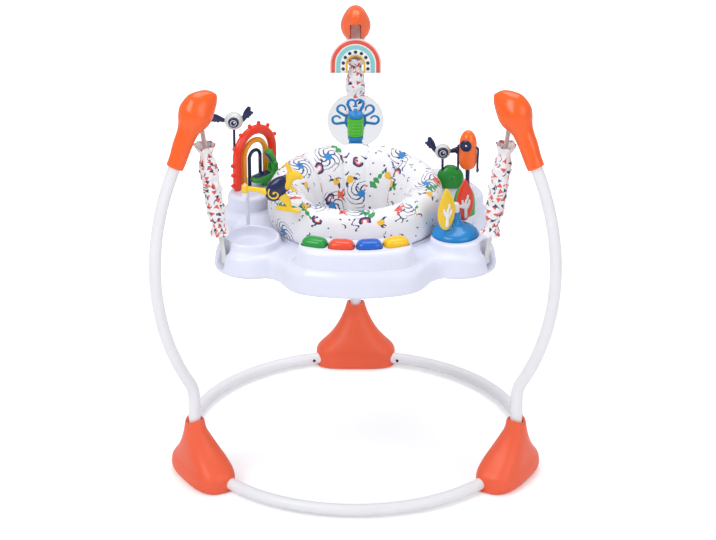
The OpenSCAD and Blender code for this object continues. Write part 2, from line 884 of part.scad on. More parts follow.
module battery_door() {
    color("ghostwhite") at_az(box_az) translate([box_at, 0, deck_z - tray_wall - box_h])
        difference() {
            rounded_plate(box_d - 4 - 2 * plug_gap, box_w - 4 - 2 * plug_gap, 2.5, 4);
            translate([0, box_w / 2 - 9, -1]) cylinder(d = 4, h = 5);
        }
}

module tray_screws() {
    color("silver") for (p = screw_places) at_az(p[1]) translate([p[0], 0, deck_z - tray_wall]) {
        translate([0, 0, -2.5]) cylinder(d = 8, h = 2.5);
        cylinder(d = screw_d - 2 * tray_wall / 10 - 2 * plug_gap, h = tray_wall + 18);
    }
}

// Seat: a ring that turns in the deck, a padded roll on it and a cloth pocket with two leg holes
ring_wall = 10;
flange_h = 3.5;
lip_gap = 0.5;

module seat_ring() {
    out = hole_r - clear;
    color("ghostwhite") translate([0, axis_y, 0]) rotate_extrude($fn = 128)
        polygon([
            [out - ring_wall, deck_z - 14],
            [out + 4, deck_z - 14],
            [out + 4, deck_z - tray_wall - lip_gap - 3],
            [out, deck_z - tray_wall - lip_gap],
            [out, deck_z + seat_on],
            [roll_out - 3, deck_z + seat_on],
            [roll_out - 3, deck_z + seat_on + flange_h],
            [out - ring_wall, deck_z + seat_on + flange_h]
        ]);
}

// The roll is higher behind than in front; its inner face slopes into the seat and is drawn in by creases
roll_rings = 48;
roll_sides = 16;
roll_tuck = 2 * (hole_r - clear - ring_wall + 1) - roll_out - roll_in;
roll_low = deck_z + 2 * seat_on + flange_h;
roll_creases = 12;

function roll_ring(i) =
    let (turn = 360 * i / roll_rings)
    [
        for (j = [0:roll_sides - 1])
            let (
                a = 360 * j / roll_sides,
                inner = max(0, -cos(a)),
                crease = 1 - 0.07 * inner * pow(cos(roll_creases * turn / 2), 8),
                slope = (sin(a) > 0 ? roll_slope : roll_tuck) * abs(sin(a)) * (1 - cos(a)) / 2,
                top_z = (roll_z + roll_front_z) / 2 + (roll_z - roll_front_z) / 2 * sin(turn),
                r = (roll_out + roll_in) / 2 + (roll_out - roll_in) / 2 * spow(cos(a), 0.86) * crease + slope,
                z = (top_z + roll_low) / 2 + (top_z - roll_low) / 2 * spow(sin(a), sin(a) > 0 ? 0.86 : 0.5)
            )
            [r * cos(turn), r * sin(turn), z]
    ];

module seat_roll() {
    color("aliceblue") translate([0, axis_y, 0])
        skin([for (i = [roll_rings:-1:1]) roll_ring(i)], closed = true);
}

pocket_top = deck_z + seat_on + flange_h - 1;
pocket_form = [[0, 0], [14, 0], [58, 0.1], [92, 0.28], [112, 0.52], [126, 0.76]];

function pocket_points(inset) = [
    for (p = pocket_form)
        [max(p[0] - inset * (p[0] > 0 ? 1 : 0), 0), pocket_z + inset + (pocket_top - 22 - pocket_z) * p[1]]
];

module seat_pocket() {
    hem_r = hole_r - clear - ring_wall - seat_on;
    outer = concat(pocket_points(0), [[hem_r, pocket_top - 22], [hem_r, pocket_top]]);
    inner_r = hem_r - pocket_t;
    inner = concat(pocket_points(pocket_t), [[inner_r, pocket_top - 22 + pocket_t], [inner_r, pocket_top]]);
    color("aliceblue") translate([0, axis_y, 0]) difference() {
        rotate_extrude($fn = 96) polygon(concat(outer, [for (i = [len(inner) - 1:-1:0]) inner[i]]));
        for (side = [-1, 1]) rotate([0, 0, az_front + side * 38])
            translate([30, 0, pocket_z + 78]) rotate([0, 116, 0]) cylinder(d = leg_hole_d, h = 160);
    }
}

// Toy stations: a raised round-ended block on each toy lobe, and a small post for the mirror pod
station_half = 13;
station_at = 240;
station_r = 46;
pod_az = -1.5;
pod_at = 231;
pod_d = 46;
pod_h = 68;

function polar(r, a) = r * [cos(a), sin(a)];
function station_outline(w) = let (r = station_r - w, h = station_half) concat(
    [for (a = [0:10:180]) polar(station_at, h) + polar(r, a + h)],
    [for (k = [1:3]) polar(station_at - r, h - k * h / 2)],
    [for (a = [180:10:360]) polar(station_at, -h) + polar(r, a - h)],
    [for (k = [-1:1]) polar(station_at + r, k * h / 2)]
);

module station(az) {
    at_az(az) difference() {
        translate([0, 0, deck_z]) linear_extrude(station_z - deck_z) polygon(station_outline(0));
        translate([0, 0, deck_z - 1]) linear_extrude(station_z - deck_z + 1 - tray_wall)
            polygon(station_outline(tray_wall));
    }
}

module toy_stations() {
    color("ghostwhite") for (az = toy_az) station(az);
}

// Arches: plain legs and a half-round top, one inside the other, across the left station
arch_az = 152;
arch_at = 246;
arch_turn = -14;

module at_arches() {
    at_az(arch_az) translate([arch_at, 0, station_z]) rotate([0, 0, arch_turn]) children();
}

module arch(r, h, d) {
    leg = h - r - d / 2;
    for (side = [-1, 1]) translate([0, side * r, 0]) cylinder(d = d, h = leg);
    translate([0, 0, leg]) rotate([90, 0, 90]) rotate_extrude(angle = 180) translate([r, 0]) circle(d = d);
}

nub_count = 9;
nub_d = 7;
amber_r = arch_r - arch_d / 2 - 13;
amber_d = 10;
navy_r = amber_r - amber_d / 2 - 11;
navy_d = 6.5;

module arch_red() {
    color("orangered") at_arches() {
        arch(arch_r, arch_h, arch_d);
        for (i = [0:nub_count - 1]) {
            a = 10 + 160 * i / (nub_count - 1);
            nub_r = arch_r + arch_d / 2 + 1.5;
            translate([0, nub_r * cos(a), arch_h - arch_r - arch_d / 2 + nub_r * sin(a)]) sphere(d = nub_d);
        }
    }
}

module arch_amber() {
    color("orange") at_arches() arch(amber_r, arch_h - 27, amber_d);
}

module arch_navy() {
    color("navy") at_arches() arch(navy_r, arch_h - 52, navy_d);
}

// Crocodile: a body with its lower jaw on a post, and an upper jaw on a pin between two ears
croc_az = 152;
croc_at = 222;
croc_turn = 215;
croc_w = 21;
croc_len = 60;
croc_post = 14;
jaw_open = 62;
jaw_w = croc_w - 2 * 4 - 2 * clear;

module at_croc() {
    at_az(croc_az) translate([croc_at, 0, station_z]) rotate([0, 0, croc_turn - croc_az]) children();
}

module at_jaw() {
    at_croc() translate([-croc_len / 2 + 8, 0, croc_post + 27]) children();
}

module croc_body() {
    color("forestgreen") {
        at_croc() {
            cylinder(d = 12, h = croc_post + 6);
            translate([0, croc_w / 2, croc_post]) rotate([90, 0, 0]) linear_extrude(croc_w) hull() {
                translate([croc_len / 2 - 4, 6]) circle(r = 5, $fn = 32);
                translate([-croc_len / 2 + 8, 9]) circle(r = 9, $fn = 32);
            }
        }
        at_jaw() for (side = [-1, 1]) translate([0, side * (croc_w / 2 - 2) + 2, 0]) rotate([90, 0, 0]) {
            cylinder(r = 9, h = 4);
            translate([-9, -15, 0]) cube([18, 15, 4]);
        }
        at_jaw() rotate([90, 0, 0]) cylinder(d = 4, h = croc_w - 2, center = true);
    }
}

module croc_jaw() {
    color("forestgreen") at_jaw() rotate([0, -jaw_open, 0]) difference() {
        translate([0, jaw_w / 2, 0]) rotate([90, 0, 0]) linear_extrude(jaw_w) union() {
            circle(r = 8);
            square([34, 8]);
            translate([34, 4]) circle(r = 4);
            translate([6, 8]) circle(r = 6);
        }
        rotate([90, 0, 0]) cylinder(d = 4 + 2 * pin_gap, h = croc_w, center = true);
    }
}

// Winged bugs: a ball with a round eye plate and two wings, on a springy stalk
stalk_d = 6;
wing_len = 24;
wing_w = 11;

module bug_wing(side, lift, d) {
    rotate([side * lift, 0, 0]) translate([-2, side * (d / 2 + wing_len / 2 - 3), 0]) rotate([0, 90, 0])
        linear_extrude(4) {
            square([wing_w * 0.7, wing_len - wing_w], center = true);
            for (end = [-1, 1]) translate([0, end * (wing_len - wing_w) / 2])
                circle(d = end * side > 0 ? wing_w : wing_w * 0.7);
        }
}

module bug_ball(d) {
    difference() {
        sphere(d = d);
        translate([d / 2 - 3, 0, 0]) rotate([0, 90, 0]) cylinder(d = eye_d + 2 * plug_gap, h = 10);
        translate([0, 0, -d / 2 - 1]) cylinder(d = stalk_d + 2 * plug_gap, h = 11);
    }
}

eye_d = 17;

module bug_trim(d, stalk) {
    difference() {
        for (side = [-1, 1]) bug_wing(side, 24, d);
        sphere(d = d + 2 * plug_gap);
    }
    translate([d / 2 - 3, 0, 0]) rotate([0, 90, 0]) cylinder(d = eye_d, h = 3.5);
    translate([0, 0, -d / 2 - stalk + stalk_d / 2]) cylinder(d = stalk_d, h = stalk + 9.5 - stalk_d / 2);
    translate([0, 0, -d / 2 - stalk + stalk_d / 2]) sphere(d = stalk_d);
}

bug_left_az = 160;
bug_left_at = 276;
bug_left_stalk = 132;

module at_bug_left() {
    at_az(bug_left_az) translate([bug_left_at, 0, station_z + bug_left_stalk + bug_d / 2 + seat_on])
        rotate([0, 0, 270 - bug_left_az]) children();
}

module bug_left() {
    color("white") at_bug_left() bug_ball(bug_d);
}

module bug_left_wings() {
    color("navy") at_bug_left() bug_trim(bug_d, bug_left_stalk);
}

// Hopper: a jumping animal that swings on a curved arm beside the seat
arm_az = 192.5;
arm_at = 232;
arm_d = 8;
arm_r = 96;
arm_up = 32;
hopper_t = 16;
hopper_pin = 5;
hopper_gap = 4;
boss_top = arm_d / 2 + 1;
hopper_len = 117;
hopper_x = arm_at * cos(arm_az);
hopper_y = sqrt(pow(roll_out + hopper_gap, 2) - pow(hopper_x + hopper_len, 2)) + hopper_t / 2;
arm_reach = hopper_y + arm_at * sin(arm_az);

module at_arm() {
    at_az(arm_az) translate([arm_at, 0, deck_z]) rotate([0, 0, 270 - arm_az]) children();
}

module at_hopper() {
    at_arm() translate([arm_reach, 0, arm_up + arm_r]) children();
}

module hopper_arm() {
    color("ghostwhite") at_arm() {
        cylinder(d = 2 * arm_d, h = 4);
        cylinder(d = arm_d, h = arm_up);
        translate([arm_r, 0, arm_up]) rotate([90, 0, 0]) rotate([0, 0, 90])
            rotate_extrude(angle = 90) translate([arm_r, 0]) circle(d = arm_d);
        translate([arm_r, 0, arm_up + arm_r]) rotate([0, 90, 0]) cylinder(d = arm_d, h = arm_reach - arm_r);
        translate([arm_reach, 0, arm_up + arm_r - boss_top]) cylinder(d = arm_d + 3, h = 2 * boss_top);
        translate([arm_reach, 0, arm_up + arm_r]) cylinder(d = hopper_pin, h = 24);
    }
}

// The hopper's outline lies in the plane of its swing: tail, trunk, head, ears and a long hind foot
module limb(a, ra, b, rb) {
    hull() {
        translate(a) circle(r = ra, $fn = 32);
        translate(b) circle(r = rb, $fn = 32);
    }
}

haunch = [64, -2];
haunch_r = 20;

module hopper() {
    color("gold") at_hopper() translate([0, 0, boss_top + clear]) difference() {
        union() {
            cylinder(d = 13, h = 16);
            rotate([0, 0, 90]) translate([0, hopper_t / 2, 8]) rotate([90, 0, 0]) linear_extrude(hopper_t) {
                limb([2, 0], 5, [48, -6], 9);
                limb([52, -2], 14, [88, 18], 10);
                limb([88, 18], 9, [99, 32], 10);
                limb([99, 32], 9, [113, 27], 5.5);
                limb([95, 40], 4, [88, 52], 3);
                limb([70, -16], 9, [94, -42], 5);
                limb([64, -42], 4.5, [112, -50], 4.5);
            }
        }
        translate([0, 0, -1]) cylinder(d = hopper_pin + 2 * pin_gap, h = 30);
    }
}

module hopper_haunch() {
    color("navy") at_hopper() translate([0, 0, boss_top + clear]) rotate([0, 0, 90])
        for (side = [-1, 1]) translate([0, side * (hopper_t / 2 + 2) + 2, 8])
            rotate([90, 0, 0]) linear_extrude(4) {
            translate(haunch) circle(r = haunch_r);
            translate([82, 12]) circle(r = 12);
        }
}

// Leaf spinner: a fixed blue dome and post, and a rotor with two leaves on its pin
leaf_at = 240;
cap_sphere = (dome_r * dome_r + 24 * 24) / 48;
post_h = 50;
leaf_pin_d = 6;
hub_h = 18;
leaf_turn = 51.5;
leaf_t = 5;
leaf_off = 32;
leaf_lift = 20;
stem_t = 3;

module at_leaf() {
    at_az(az_right) translate([leaf_at, 0, lobe_z]) rotate([0, 0, leaf_turn - az_right]) children();
}

module leaf_base() {
    color("dodgerblue") at_leaf() {
        intersection() {
            cylinder(r = dome_r, h = 30);
            translate([0, 0, 26 - cap_sphere]) sphere(r = cap_sphere);
        }
        cylinder(r1 = 18, r2 = 9, h = post_h);
        cylinder(d = leaf_pin_d, h = post_h + hub_h);
    }
}

// A pointed oval, the overlap of two circles
module leaf_outline(h, w) {
    big = (h * h + w * w) / (4 * w);
    intersection() {
        translate([big - w / 2, 0]) circle(r = big);
        translate([w / 2 - big, 0]) circle(r = big);
    }
}

module leaf(side) {
    at_leaf() rotate([0, 0, side > 0 ? 0 : 180]) translate([leaf_off, leaf_t / 2, leaf_lift + leaf_h / 2])
        rotate([90, 0, 0]) linear_extrude(leaf_t) leaf_outline(leaf_h, leaf_w);
}

module leaf_yellow() {
    color("gold") leaf(-1);
}

module leaf_red() {
    color("tomato") leaf(1);
}

// White rotor: a hub, and a branching stem raised on both faces of each leaf
module leaf_stem() {
    translate([-3, -leaf_h / 2 + 14]) square([6, leaf_h * 0.5]);
    for (side = [-1, 1]) translate([0, -8]) rotate([0, 0, side * 38]) translate([-2, 0]) square([4, 20]);
    translate([0, -leaf_h / 2 + 14 + leaf_h * 0.5]) circle(d = 6);
}

module leaf_rotor() {
    color("white") at_leaf() {
        difference() {
            translate([0, 0, post_h + seat_on]) cylinder(d = 16, h = hub_h + 3);
            translate([0, 0, post_h - 1]) cylinder(d = leaf_pin_d + 2 * pin_gap, h = hub_h + 2);
        }
        for (side = [0, 180]) rotate([0, 0, side]) for (face = [0, 180])
            translate([leaf_off, 0, leaf_lift + leaf_h / 2]) rotate([0, 0, face]) translate([0, -leaf_t / 2, 0])
                rotate([90, 0, 0]) linear_extrude(stem_t) leaf_stem();
        for (side = [-1, 1], face = [-1, 1])
            translate([side > 0 ? 6 : -leaf_off, face * (leaf_t / 2 + stem_t / 2) - stem_t / 2, post_h + 4])
                cube([leaf_off - 6, stem_t, 8]);
    }
}

// Right station: a green shell toy with a bug on its back, a bean figure and a green mirror pod
shell_az = 25.5;
shell_at = 226;
shell_r = 30;
shell_h = 50;

module at_shell() {
    at_az(shell_az) translate([shell_at, 0, station_z]) rotate([0, 0, -shell_az]) children();
}

module shell_toy() {
    color("forestgreen") {
        at_shell() difference() {
            union() {
                intersection() {
                    translate([0, 0, shell_h - shell_r]) sphere(r = shell_r);
                    translate([-shell_r, -shell_t / 2, 0]) cube([2 * shell_r, shell_t, shell_h]);
                }
                translate([-shell_r + 2, -shell_t / 2, 0]) cube([2 * shell_r - 4, shell_t, 18]);
            }
            translate([4, -shell_t / 2 - 1, 21]) rotate([-90, 0, 0]) difference() {
                cylinder(r = 18, h = 4);
                translate([0, 0, -1]) cylinder(r = 13, h = 6);
            }
            translate([-17, 0, seat_low]) cylinder(d = 18, h = shell_h);
        }
        at_az(pod_az) translate([pod_at, 0, deck_z]) {
            translate([0, 0, 20]) cylinder(d = pod_d, h = pod_h - pod_d / 2);
            translate([0, 0, 20 + pod_h - pod_d / 2]) sphere(d = pod_d);
            cylinder(d = pod_d - 8, h = 21);
        }
    }
}

shell_t = 26;
seat_low = 38;
bug_right_d = 34;
bug_right_stalk = 26;

module at_bug_right() {
    at_shell() translate([-17, 0, seat_low + bug_right_stalk + bug_right_d / 2 + seat_on])
        rotate([0, 0, -90]) children();
}

module bug_right() {
    color("white") at_bug_right() bug_ball(bug_right_d);
}

module bug_right_wings() {
    color("navy") at_bug_right() bug_trim(bug_right_d, bug_right_stalk);
}

bean_az = 16.3;
bean_at = 250;
bean_post = 52;

module at_bean() {
    at_az(bean_az) translate([bean_at, 0, station_z]) rotate([0, 0, 250 - bean_az]) children();
}

module bean() {
    color("darkorange") at_bean() translate([0, 0, bean_post]) difference() {
        union() {
            translate([0, 0, bean_d / 2]) cylinder(d = bean_d, h = bean_h - bean_d);
            for (z = [bean_d / 2, bean_h - bean_d / 2]) translate([0, 0, z]) sphere(d = bean_d);
        }
        translate([0, 0, -1]) cylinder(d = 10 + 2 * plug_gap, h = 12);
        translate([bean_d / 2 - 3, 0, bean_h - 30]) rotate([0, 90, 0]) cylinder(d = 26 + 2 * plug_gap, h = 10);
    }
}

module bean_trim() {
    color("navy") at_bean() {
        translate([0, 0, seat_on + 5]) cylinder(d = 10, h = bean_post + 5.2);
        translate([0, 0, seat_on + 5]) sphere(d = 10);
        translate([bean_d / 2 - 3, 0, bean_post + bean_h - 30]) rotate([0, 90, 0]) cylinder(d = 26, h = 4);
        for (side = [-1, 1]) translate([0, side * (bean_d / 2 + 2.6), 0]) {
            translate([0, 0, bean_post + 2]) cylinder(d = 5, h = 50);
            translate([0, 0, bean_post + 52]) sphere(d = 5);
            translate([0, 0, bean_post]) sphere(d = 9);
        }
    }
}

// Rear toy: a blue stand with rays on a clear disc, and a green roller between its bars
drum_at = 226;
bar_t = 9;
stand_w = 60;
disc_t = 4;
disc_mid_z = 648;
drum_low = disc_mid_z - roller_h / 2 - 2;
ray_count = 7;

module at_drum() {
    at_az(az_back) translate([drum_at, 0, 0]) children();
}

module drum_stand() {
    back_x = roller_d / 2 + 2;
    color("dodgerblue") at_drum() {
        translate([0, 0, lobe_z]) cylinder(r1 = 30, r2 = 18, h = 20);
        translate([-bar_t / 2, -roller_d / 2 + 4, lobe_z + 15])
            cube([bar_t, roller_d - 8, drum_low - lobe_z - 15 - bar_t]);
        for (z = [drum_low - bar_t - clear, drum_low + roller_h + clear]) {
            translate([0, 0, z]) cylinder(d = roller_d - 2, h = bar_t);
            translate([6, -5, z]) cube([back_x - 2, 10, bar_t]);
        }
        translate([back_x, -5, drum_low - bar_t - clear]) cube([5, 10, roller_h + 2 * bar_t + 2 * clear]);
        translate([0, 0, drum_low - 4]) cylinder(d = 5, h = roller_h + 8);
        translate([back_x + 4, 0, disc_mid_z]) rotate([0, 90, 0]) for (i = [0:ray_count - 1])
            rotate([0, 0, 180 - 75 + 150 * i / (ray_count - 1)]) translate([20, -3.5, 0])
                cube([disc_toy_r - 26, 7, 3]);
        translate([back_x + 4, 0, disc_mid_z]) rotate([0, 90, 0]) cylinder(r = 24, h = 3);
    }
}

module drum_disc() {
    color("lightblue") at_drum() translate([roller_d / 2 + 2 + 7 + seat_on / 3, 0, disc_mid_z])
        rotate([0, 90, 0]) cylinder(r = disc_toy_r, h = disc_t);
}

module drum() {
    color("limegreen") at_drum() translate([0, 0, drum_low]) difference() {
        cylinder(d = roller_d, h = roller_h);
        translate([0, 0, -1]) cylinder(d = 5 + 2 * pin_gap, h = roller_h + 2);
    }
}

ring_front();
ring_left();
ring_right();
foot_back();
foot_left();
foot_right();
foot_pads();
foot_stubs();
upright_back();
upright_left();
upright_right();
snap_buttons();
cap_back();
cap_left();
cap_right();
cap_pins();
upper_straps();
springs();
sleeve_back();
sleeve_left();
sleeve_right();
rainbow_tag();
tray_shell();
strap_bars();
lower_straps();
keyboard_housing();
electronics();
battery_box();
battery_door();
tray_screws();
toy_stations();
seat_ring();
seat_roll();
seat_pocket();
key_green();
key_red();
key_blue();
key_yellow();
leaf_base();
leaf_rotor();
leaf_yellow();
leaf_red();
arch_red();
arch_amber();
arch_navy();
croc_body();
croc_jaw();
bug_left();
bug_left_wings();
hopper_arm();
hopper();
hopper_haunch();
shell_toy();
bug_right();
bug_right_wings();
bean();
bean_trim();
drum_stand();
drum_disc();
drum();
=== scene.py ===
"""Looks of the baby jumper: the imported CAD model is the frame, and each section below finishes one piece or group."""

import bisect
import math

import bpy
from mathutils import Matrix, Vector, noise


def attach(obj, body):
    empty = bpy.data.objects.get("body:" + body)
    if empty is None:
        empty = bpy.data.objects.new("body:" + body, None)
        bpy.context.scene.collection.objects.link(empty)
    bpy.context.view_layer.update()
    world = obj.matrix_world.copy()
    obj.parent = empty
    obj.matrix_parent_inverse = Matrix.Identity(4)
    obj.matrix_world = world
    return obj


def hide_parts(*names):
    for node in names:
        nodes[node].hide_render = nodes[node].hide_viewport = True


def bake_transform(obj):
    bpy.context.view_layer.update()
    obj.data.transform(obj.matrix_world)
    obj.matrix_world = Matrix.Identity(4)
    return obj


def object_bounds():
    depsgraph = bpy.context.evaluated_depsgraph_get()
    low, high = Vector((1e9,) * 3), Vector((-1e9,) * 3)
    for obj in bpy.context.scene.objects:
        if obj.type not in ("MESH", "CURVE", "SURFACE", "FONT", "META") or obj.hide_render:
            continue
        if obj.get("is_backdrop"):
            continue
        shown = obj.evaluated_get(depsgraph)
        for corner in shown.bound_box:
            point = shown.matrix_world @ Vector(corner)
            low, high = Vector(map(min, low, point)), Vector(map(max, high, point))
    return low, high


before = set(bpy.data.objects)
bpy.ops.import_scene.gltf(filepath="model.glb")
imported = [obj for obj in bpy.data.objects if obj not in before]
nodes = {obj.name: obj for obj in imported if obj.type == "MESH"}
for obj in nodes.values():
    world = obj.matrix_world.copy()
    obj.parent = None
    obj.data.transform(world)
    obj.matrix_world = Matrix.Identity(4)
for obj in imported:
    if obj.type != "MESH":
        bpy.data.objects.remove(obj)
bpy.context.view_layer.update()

MM = 0.001
AXIS_Y = -54.5 * MM
LEGS = {"back": 90, "left": 210, "right": 330}


def place(r, az, z):
    """A point at a radius from the jumper's upright axis, an azimuth in degrees and a height, all in millimetres."""
    turn = math.radians(az)
    return Vector((r * MM * math.cos(turn), AXIS_Y + r * MM * math.sin(turn), z * MM))


AXIS = Matrix.Translation((0, AXIS_Y, 0))


def shift(x, y, z):
    """A move in millimetres."""
    return Matrix.Translation((x * MM, y * MM, z * MM))


def spin(angle, axis="Z"):
    """A turn in degrees about an axis."""
    return Matrix.Rotation(math.radians(angle), 4, axis)


# ---------------------------------------------------------------------------------------------------------------
# Studio: a white floor that runs into a white room, a large key light from the left, a fill and a top light.
# The camera stands where the photo's did, at 24 degrees above the horizon.

def linear(colour):
    """A colour written as sRGB hex, as the renderer's linear numbers."""
    parts = [int(colour[i:i + 2], 16) / 255 for i in (1, 3, 5)]
    return tuple(c / 12.92 if c <= 0.04045 else ((c + 0.055) / 1.055) ** 2.4 for c in parts) + (1.0,)


def feed(tree, node, inputs):
    """Sets a shader node's inputs, each to a number, a colour, another node or one of its outputs."""
    for name, value in inputs.items():
        if isinstance(value, bpy.types.Node):
            value = value.outputs[0]
        if isinstance(value, bpy.types.NodeSocket):
            tree.links.new(value, node.inputs[name])
        else:
            node.inputs[name].default_value = value


def add(tree, kind, inputs=None, **settings):
    """One shader node with its settings and links."""
    made = tree.nodes.new(kind)
    for name, value in settings.items():
        setattr(made, name, value)
    feed(tree, made, inputs or {})
    return made


scene = bpy.context.scene
scene.view_settings.view_transform = "Standard"
EYE = (5.37 * MM, -5148.7 * MM, 2681.8 * MM)
PITCH = 24.11
bpy.ops.object.select_all(action="DESELECT")
bpy.ops.object.camera_add(location=EYE, rotation=(math.radians(90 - PITCH), 0, 0))
scene.camera = bpy.context.object
scene.camera.data.sensor_width = 36
scene.camera.data.lens = 130.7
scene.camera.data.clip_end = 60

for name, at, aim, size, power in (
    ("key", (-2.4, -2.6, 3.6), (0, 0, 0.4), 2.6, 92),
    ("fill", (3.0, -2.8, 2.2), (0, 0, 0.5), 2.8, 43),
    ("top", (0.2, 0.8, 3.8), (0, 0, 0.4), 2.4, 55),
):
    bpy.ops.object.light_add(type="AREA", location=at)
    lamp = bpy.context.object
    lamp.name = name
    lamp.data.energy = power
    lamp.data.size = size
    lamp.rotation_euler = (Vector(aim) - Vector(at)).to_track_quat("-Z", "Y").to_euler()

world = bpy.data.worlds.new("white room")
scene.world = world
world.use_nodes = True
tree = world.node_tree
tree.nodes.clear()
rays = add(tree, "ShaderNodeLightPath")
seen = add(tree, "ShaderNodeMath", {0: rays.outputs["Is Camera Ray"], 1: rays.outputs["Is Transmission Ray"]},
           operation="MAXIMUM")
room = add(tree, "ShaderNodeBackground", {"Color": linear("#F4F6FA"), "Strength": 0.5})
white = add(tree, "ShaderNodeBackground", {"Color": (1, 1, 1, 1), "Strength": 1.0})
mixed = add(tree, "ShaderNodeMixShader", {0: seen, 1: room, 2: white})
add(tree, "ShaderNodeOutputWorld", {"Surface": mixed})


def new_material(name):
    """An empty material with its tree and its surface shader."""
    material = bpy.data.materials.new(name)
    material.use_nodes = True
    return material, material.node_tree, material.node_tree.nodes["Principled BSDF"]


bpy.ops.mesh.primitive_plane_add(size=14, location=(0, 2.0, 0))
floor = bpy.context.object
floor.name = "floor"
material, tree, face = new_material("white studio floor")
rays = add(tree, "ShaderNodeLightPath")
spot = add(tree, "ShaderNodeVectorMath", {0: add(tree, "ShaderNodeNewGeometry")}, operation="LENGTH")
far = add(tree, "ShaderNodeMapRange",
          {"Value": spot.outputs["Value"], "From Min": 0.5, "From Max": 2.2, "To Min": 0.27, "To Max": 0.66})
glow = add(tree, "ShaderNodeMath", {0: rays.outputs["Is Camera Ray"], 1: far}, operation="MULTIPLY")
feed(tree, face, {"Base Color": linear("#F7F7F8"), "Roughness": 0.8, "Specular IOR Level": 0.2,
                  "Emission Color": (1, 1, 1, 1), "Emission Strength": glow})
floor.data.materials.append(material)
floor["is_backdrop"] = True


# ---------------------------------------------------------------------------------------------------------------
# Tubes: bent steel, powder coated off-white with a fine peel. Floor ring in three lengths, a stub in each foot and
# three bowed uprights with a drawn-down plug at the lower end. The CAD shapes stay.

def moulded(name, colour, rough, grain, depth):
    """A coated or moulded surface: an even colour with a faint cloud, and a fine peel with a grain in millimetres."""
    material, tree, face = new_material(name)
    at = add(tree, "ShaderNodeTexCoord").outputs["Object"]
    cloud = add(tree, "ShaderNodeTexNoise", {"Vector": at, "Scale": 11.0, "Detail": 2.0})
    shade = add(tree, "ShaderNodeMapRange", {"Value": cloud, "To Min": 0.955, "To Max": 1.03})
    tint = add(tree, "ShaderNodeHueSaturation", {"Color": linear(colour), "Value": shade})
    fine = add(tree, "ShaderNodeTexNoise", {"Vector": at, "Scale": 1000.0 / grain, "Detail": 3.0})
    dull = add(tree, "ShaderNodeMapRange", {"Value": cloud, "To Min": rough - 0.05, "To Max": rough + 0.07})
    peel = add(tree, "ShaderNodeBump", {"Strength": depth, "Distance": 0.0004, "Height": fine})
    feed(tree, face, {"Base Color": tint, "Roughness": dull, "Normal": peel})
    return material


def paint(material, *names):
    """Gives CAD nodes that stay in sight their finish."""
    for name in names:
        nodes[name].data.materials.clear()
        nodes[name].data.materials.append(material)


powder_coat = moulded("white powder coat on steel tube", "#EDEDF0", 0.34, 1.1, 0.10)
paint(powder_coat, "ring_front", "ring_left", "ring_right", "foot_stubs", *("upright_" + leg for leg in LEGS))

button_black = moulded("black acetal snap button", "#17181B", 0.35, 0.6, 0.08)
paint(button_black, "snap_buttons")


# ---------------------------------------------------------------------------------------------------------------
# Feet: injection-moulded polypropylene, satin coral. Each is a broad saddle over the floor ring that narrows to a
# round collar with a rolled lip, where the upright's stub stands. One is formed and copied to the other legs.

def spline(rows, t):
    """A row of numbers on a smooth curve through the given rows, at t from 0 to 1."""
    s = min(max(t, 0.0), 1.0) * (len(rows) - 1)
    i = min(int(s), len(rows) - 2)
    u = s - i
    a, b, c, d = rows[max(i - 1, 0)], rows[i], rows[i + 1], rows[min(i + 2, len(rows) - 1)]
    return [0.5 * (2 * q + (r - p) * u + (2 * p - 5 * q + 4 * r - w) * u * u + (3 * q - p - 3 * r + w) * u ** 3)
            for p, q, r, w in zip(a, b, c, d)]


def bent(value, power):
    """A sine or cosine with its corners filled out, for a rounded square."""
    return math.copysign(abs(value) ** power, value)


def skin(name, around, along, point):
    """A grid rolled up to a closed skin: point(a, t) places the share a round it and t along it, in metres."""
    bpy.ops.object.select_all(action="DESELECT")
    bpy.ops.mesh.primitive_grid_add(x_subdivisions=around, y_subdivisions=along, size=1)
    piece = bpy.context.object
    piece.name = name
    piece.data.name = name
    for v in piece.data.vertices:
        v.co = point(v.co.x + 0.5, v.co.y + 0.5)
    bpy.ops.object.mode_set(mode="EDIT")
    bpy.ops.mesh.select_all(action="SELECT")
    bpy.ops.mesh.remove_doubles(threshold=0.00003)
    bpy.ops.mesh.normals_make_consistent(inside=False)
    bpy.ops.object.mode_set(mode="OBJECT")
    bpy.ops.object.shade_smooth()
    return piece


def pick(piece):
    """Selects one piece alone, as the active one."""
    bpy.ops.object.select_all(action="DESELECT")
    piece.select_set(True)
    bpy.context.view_layer.objects.active = piece


def modify(piece, kind, **settings):
    """Adds a modifier and applies it."""
    pick(piece)
    made = piece.modifiers.new(kind.lower(), kind)
    for name, value in settings.items():
        setattr(made, name, value)
    bpy.ops.object.modifier_apply(modifier=made.name)


def turned_copy(piece, name, turn):
    """A copy with its own mesh, turned round the jumper's upright axis."""
    pick(piece)
    bpy.ops.object.duplicate()
    copy = bpy.context.object
    copy.name = name
    copy.data.name = name
    copy.data.transform(AXIS @ spin(turn) @ AXIS.inverted())
    return copy


def finish_piece(piece, material, body, slot, *replaced):
    """Gives a new piece its material and body, and hides the CAD nodes that it stands for. The slot is not used."""
    piece.data.materials.clear()
    piece.data.materials.append(material)
    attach(piece, body)
    if replaced:
        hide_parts(*replaced)


RING_R = 365
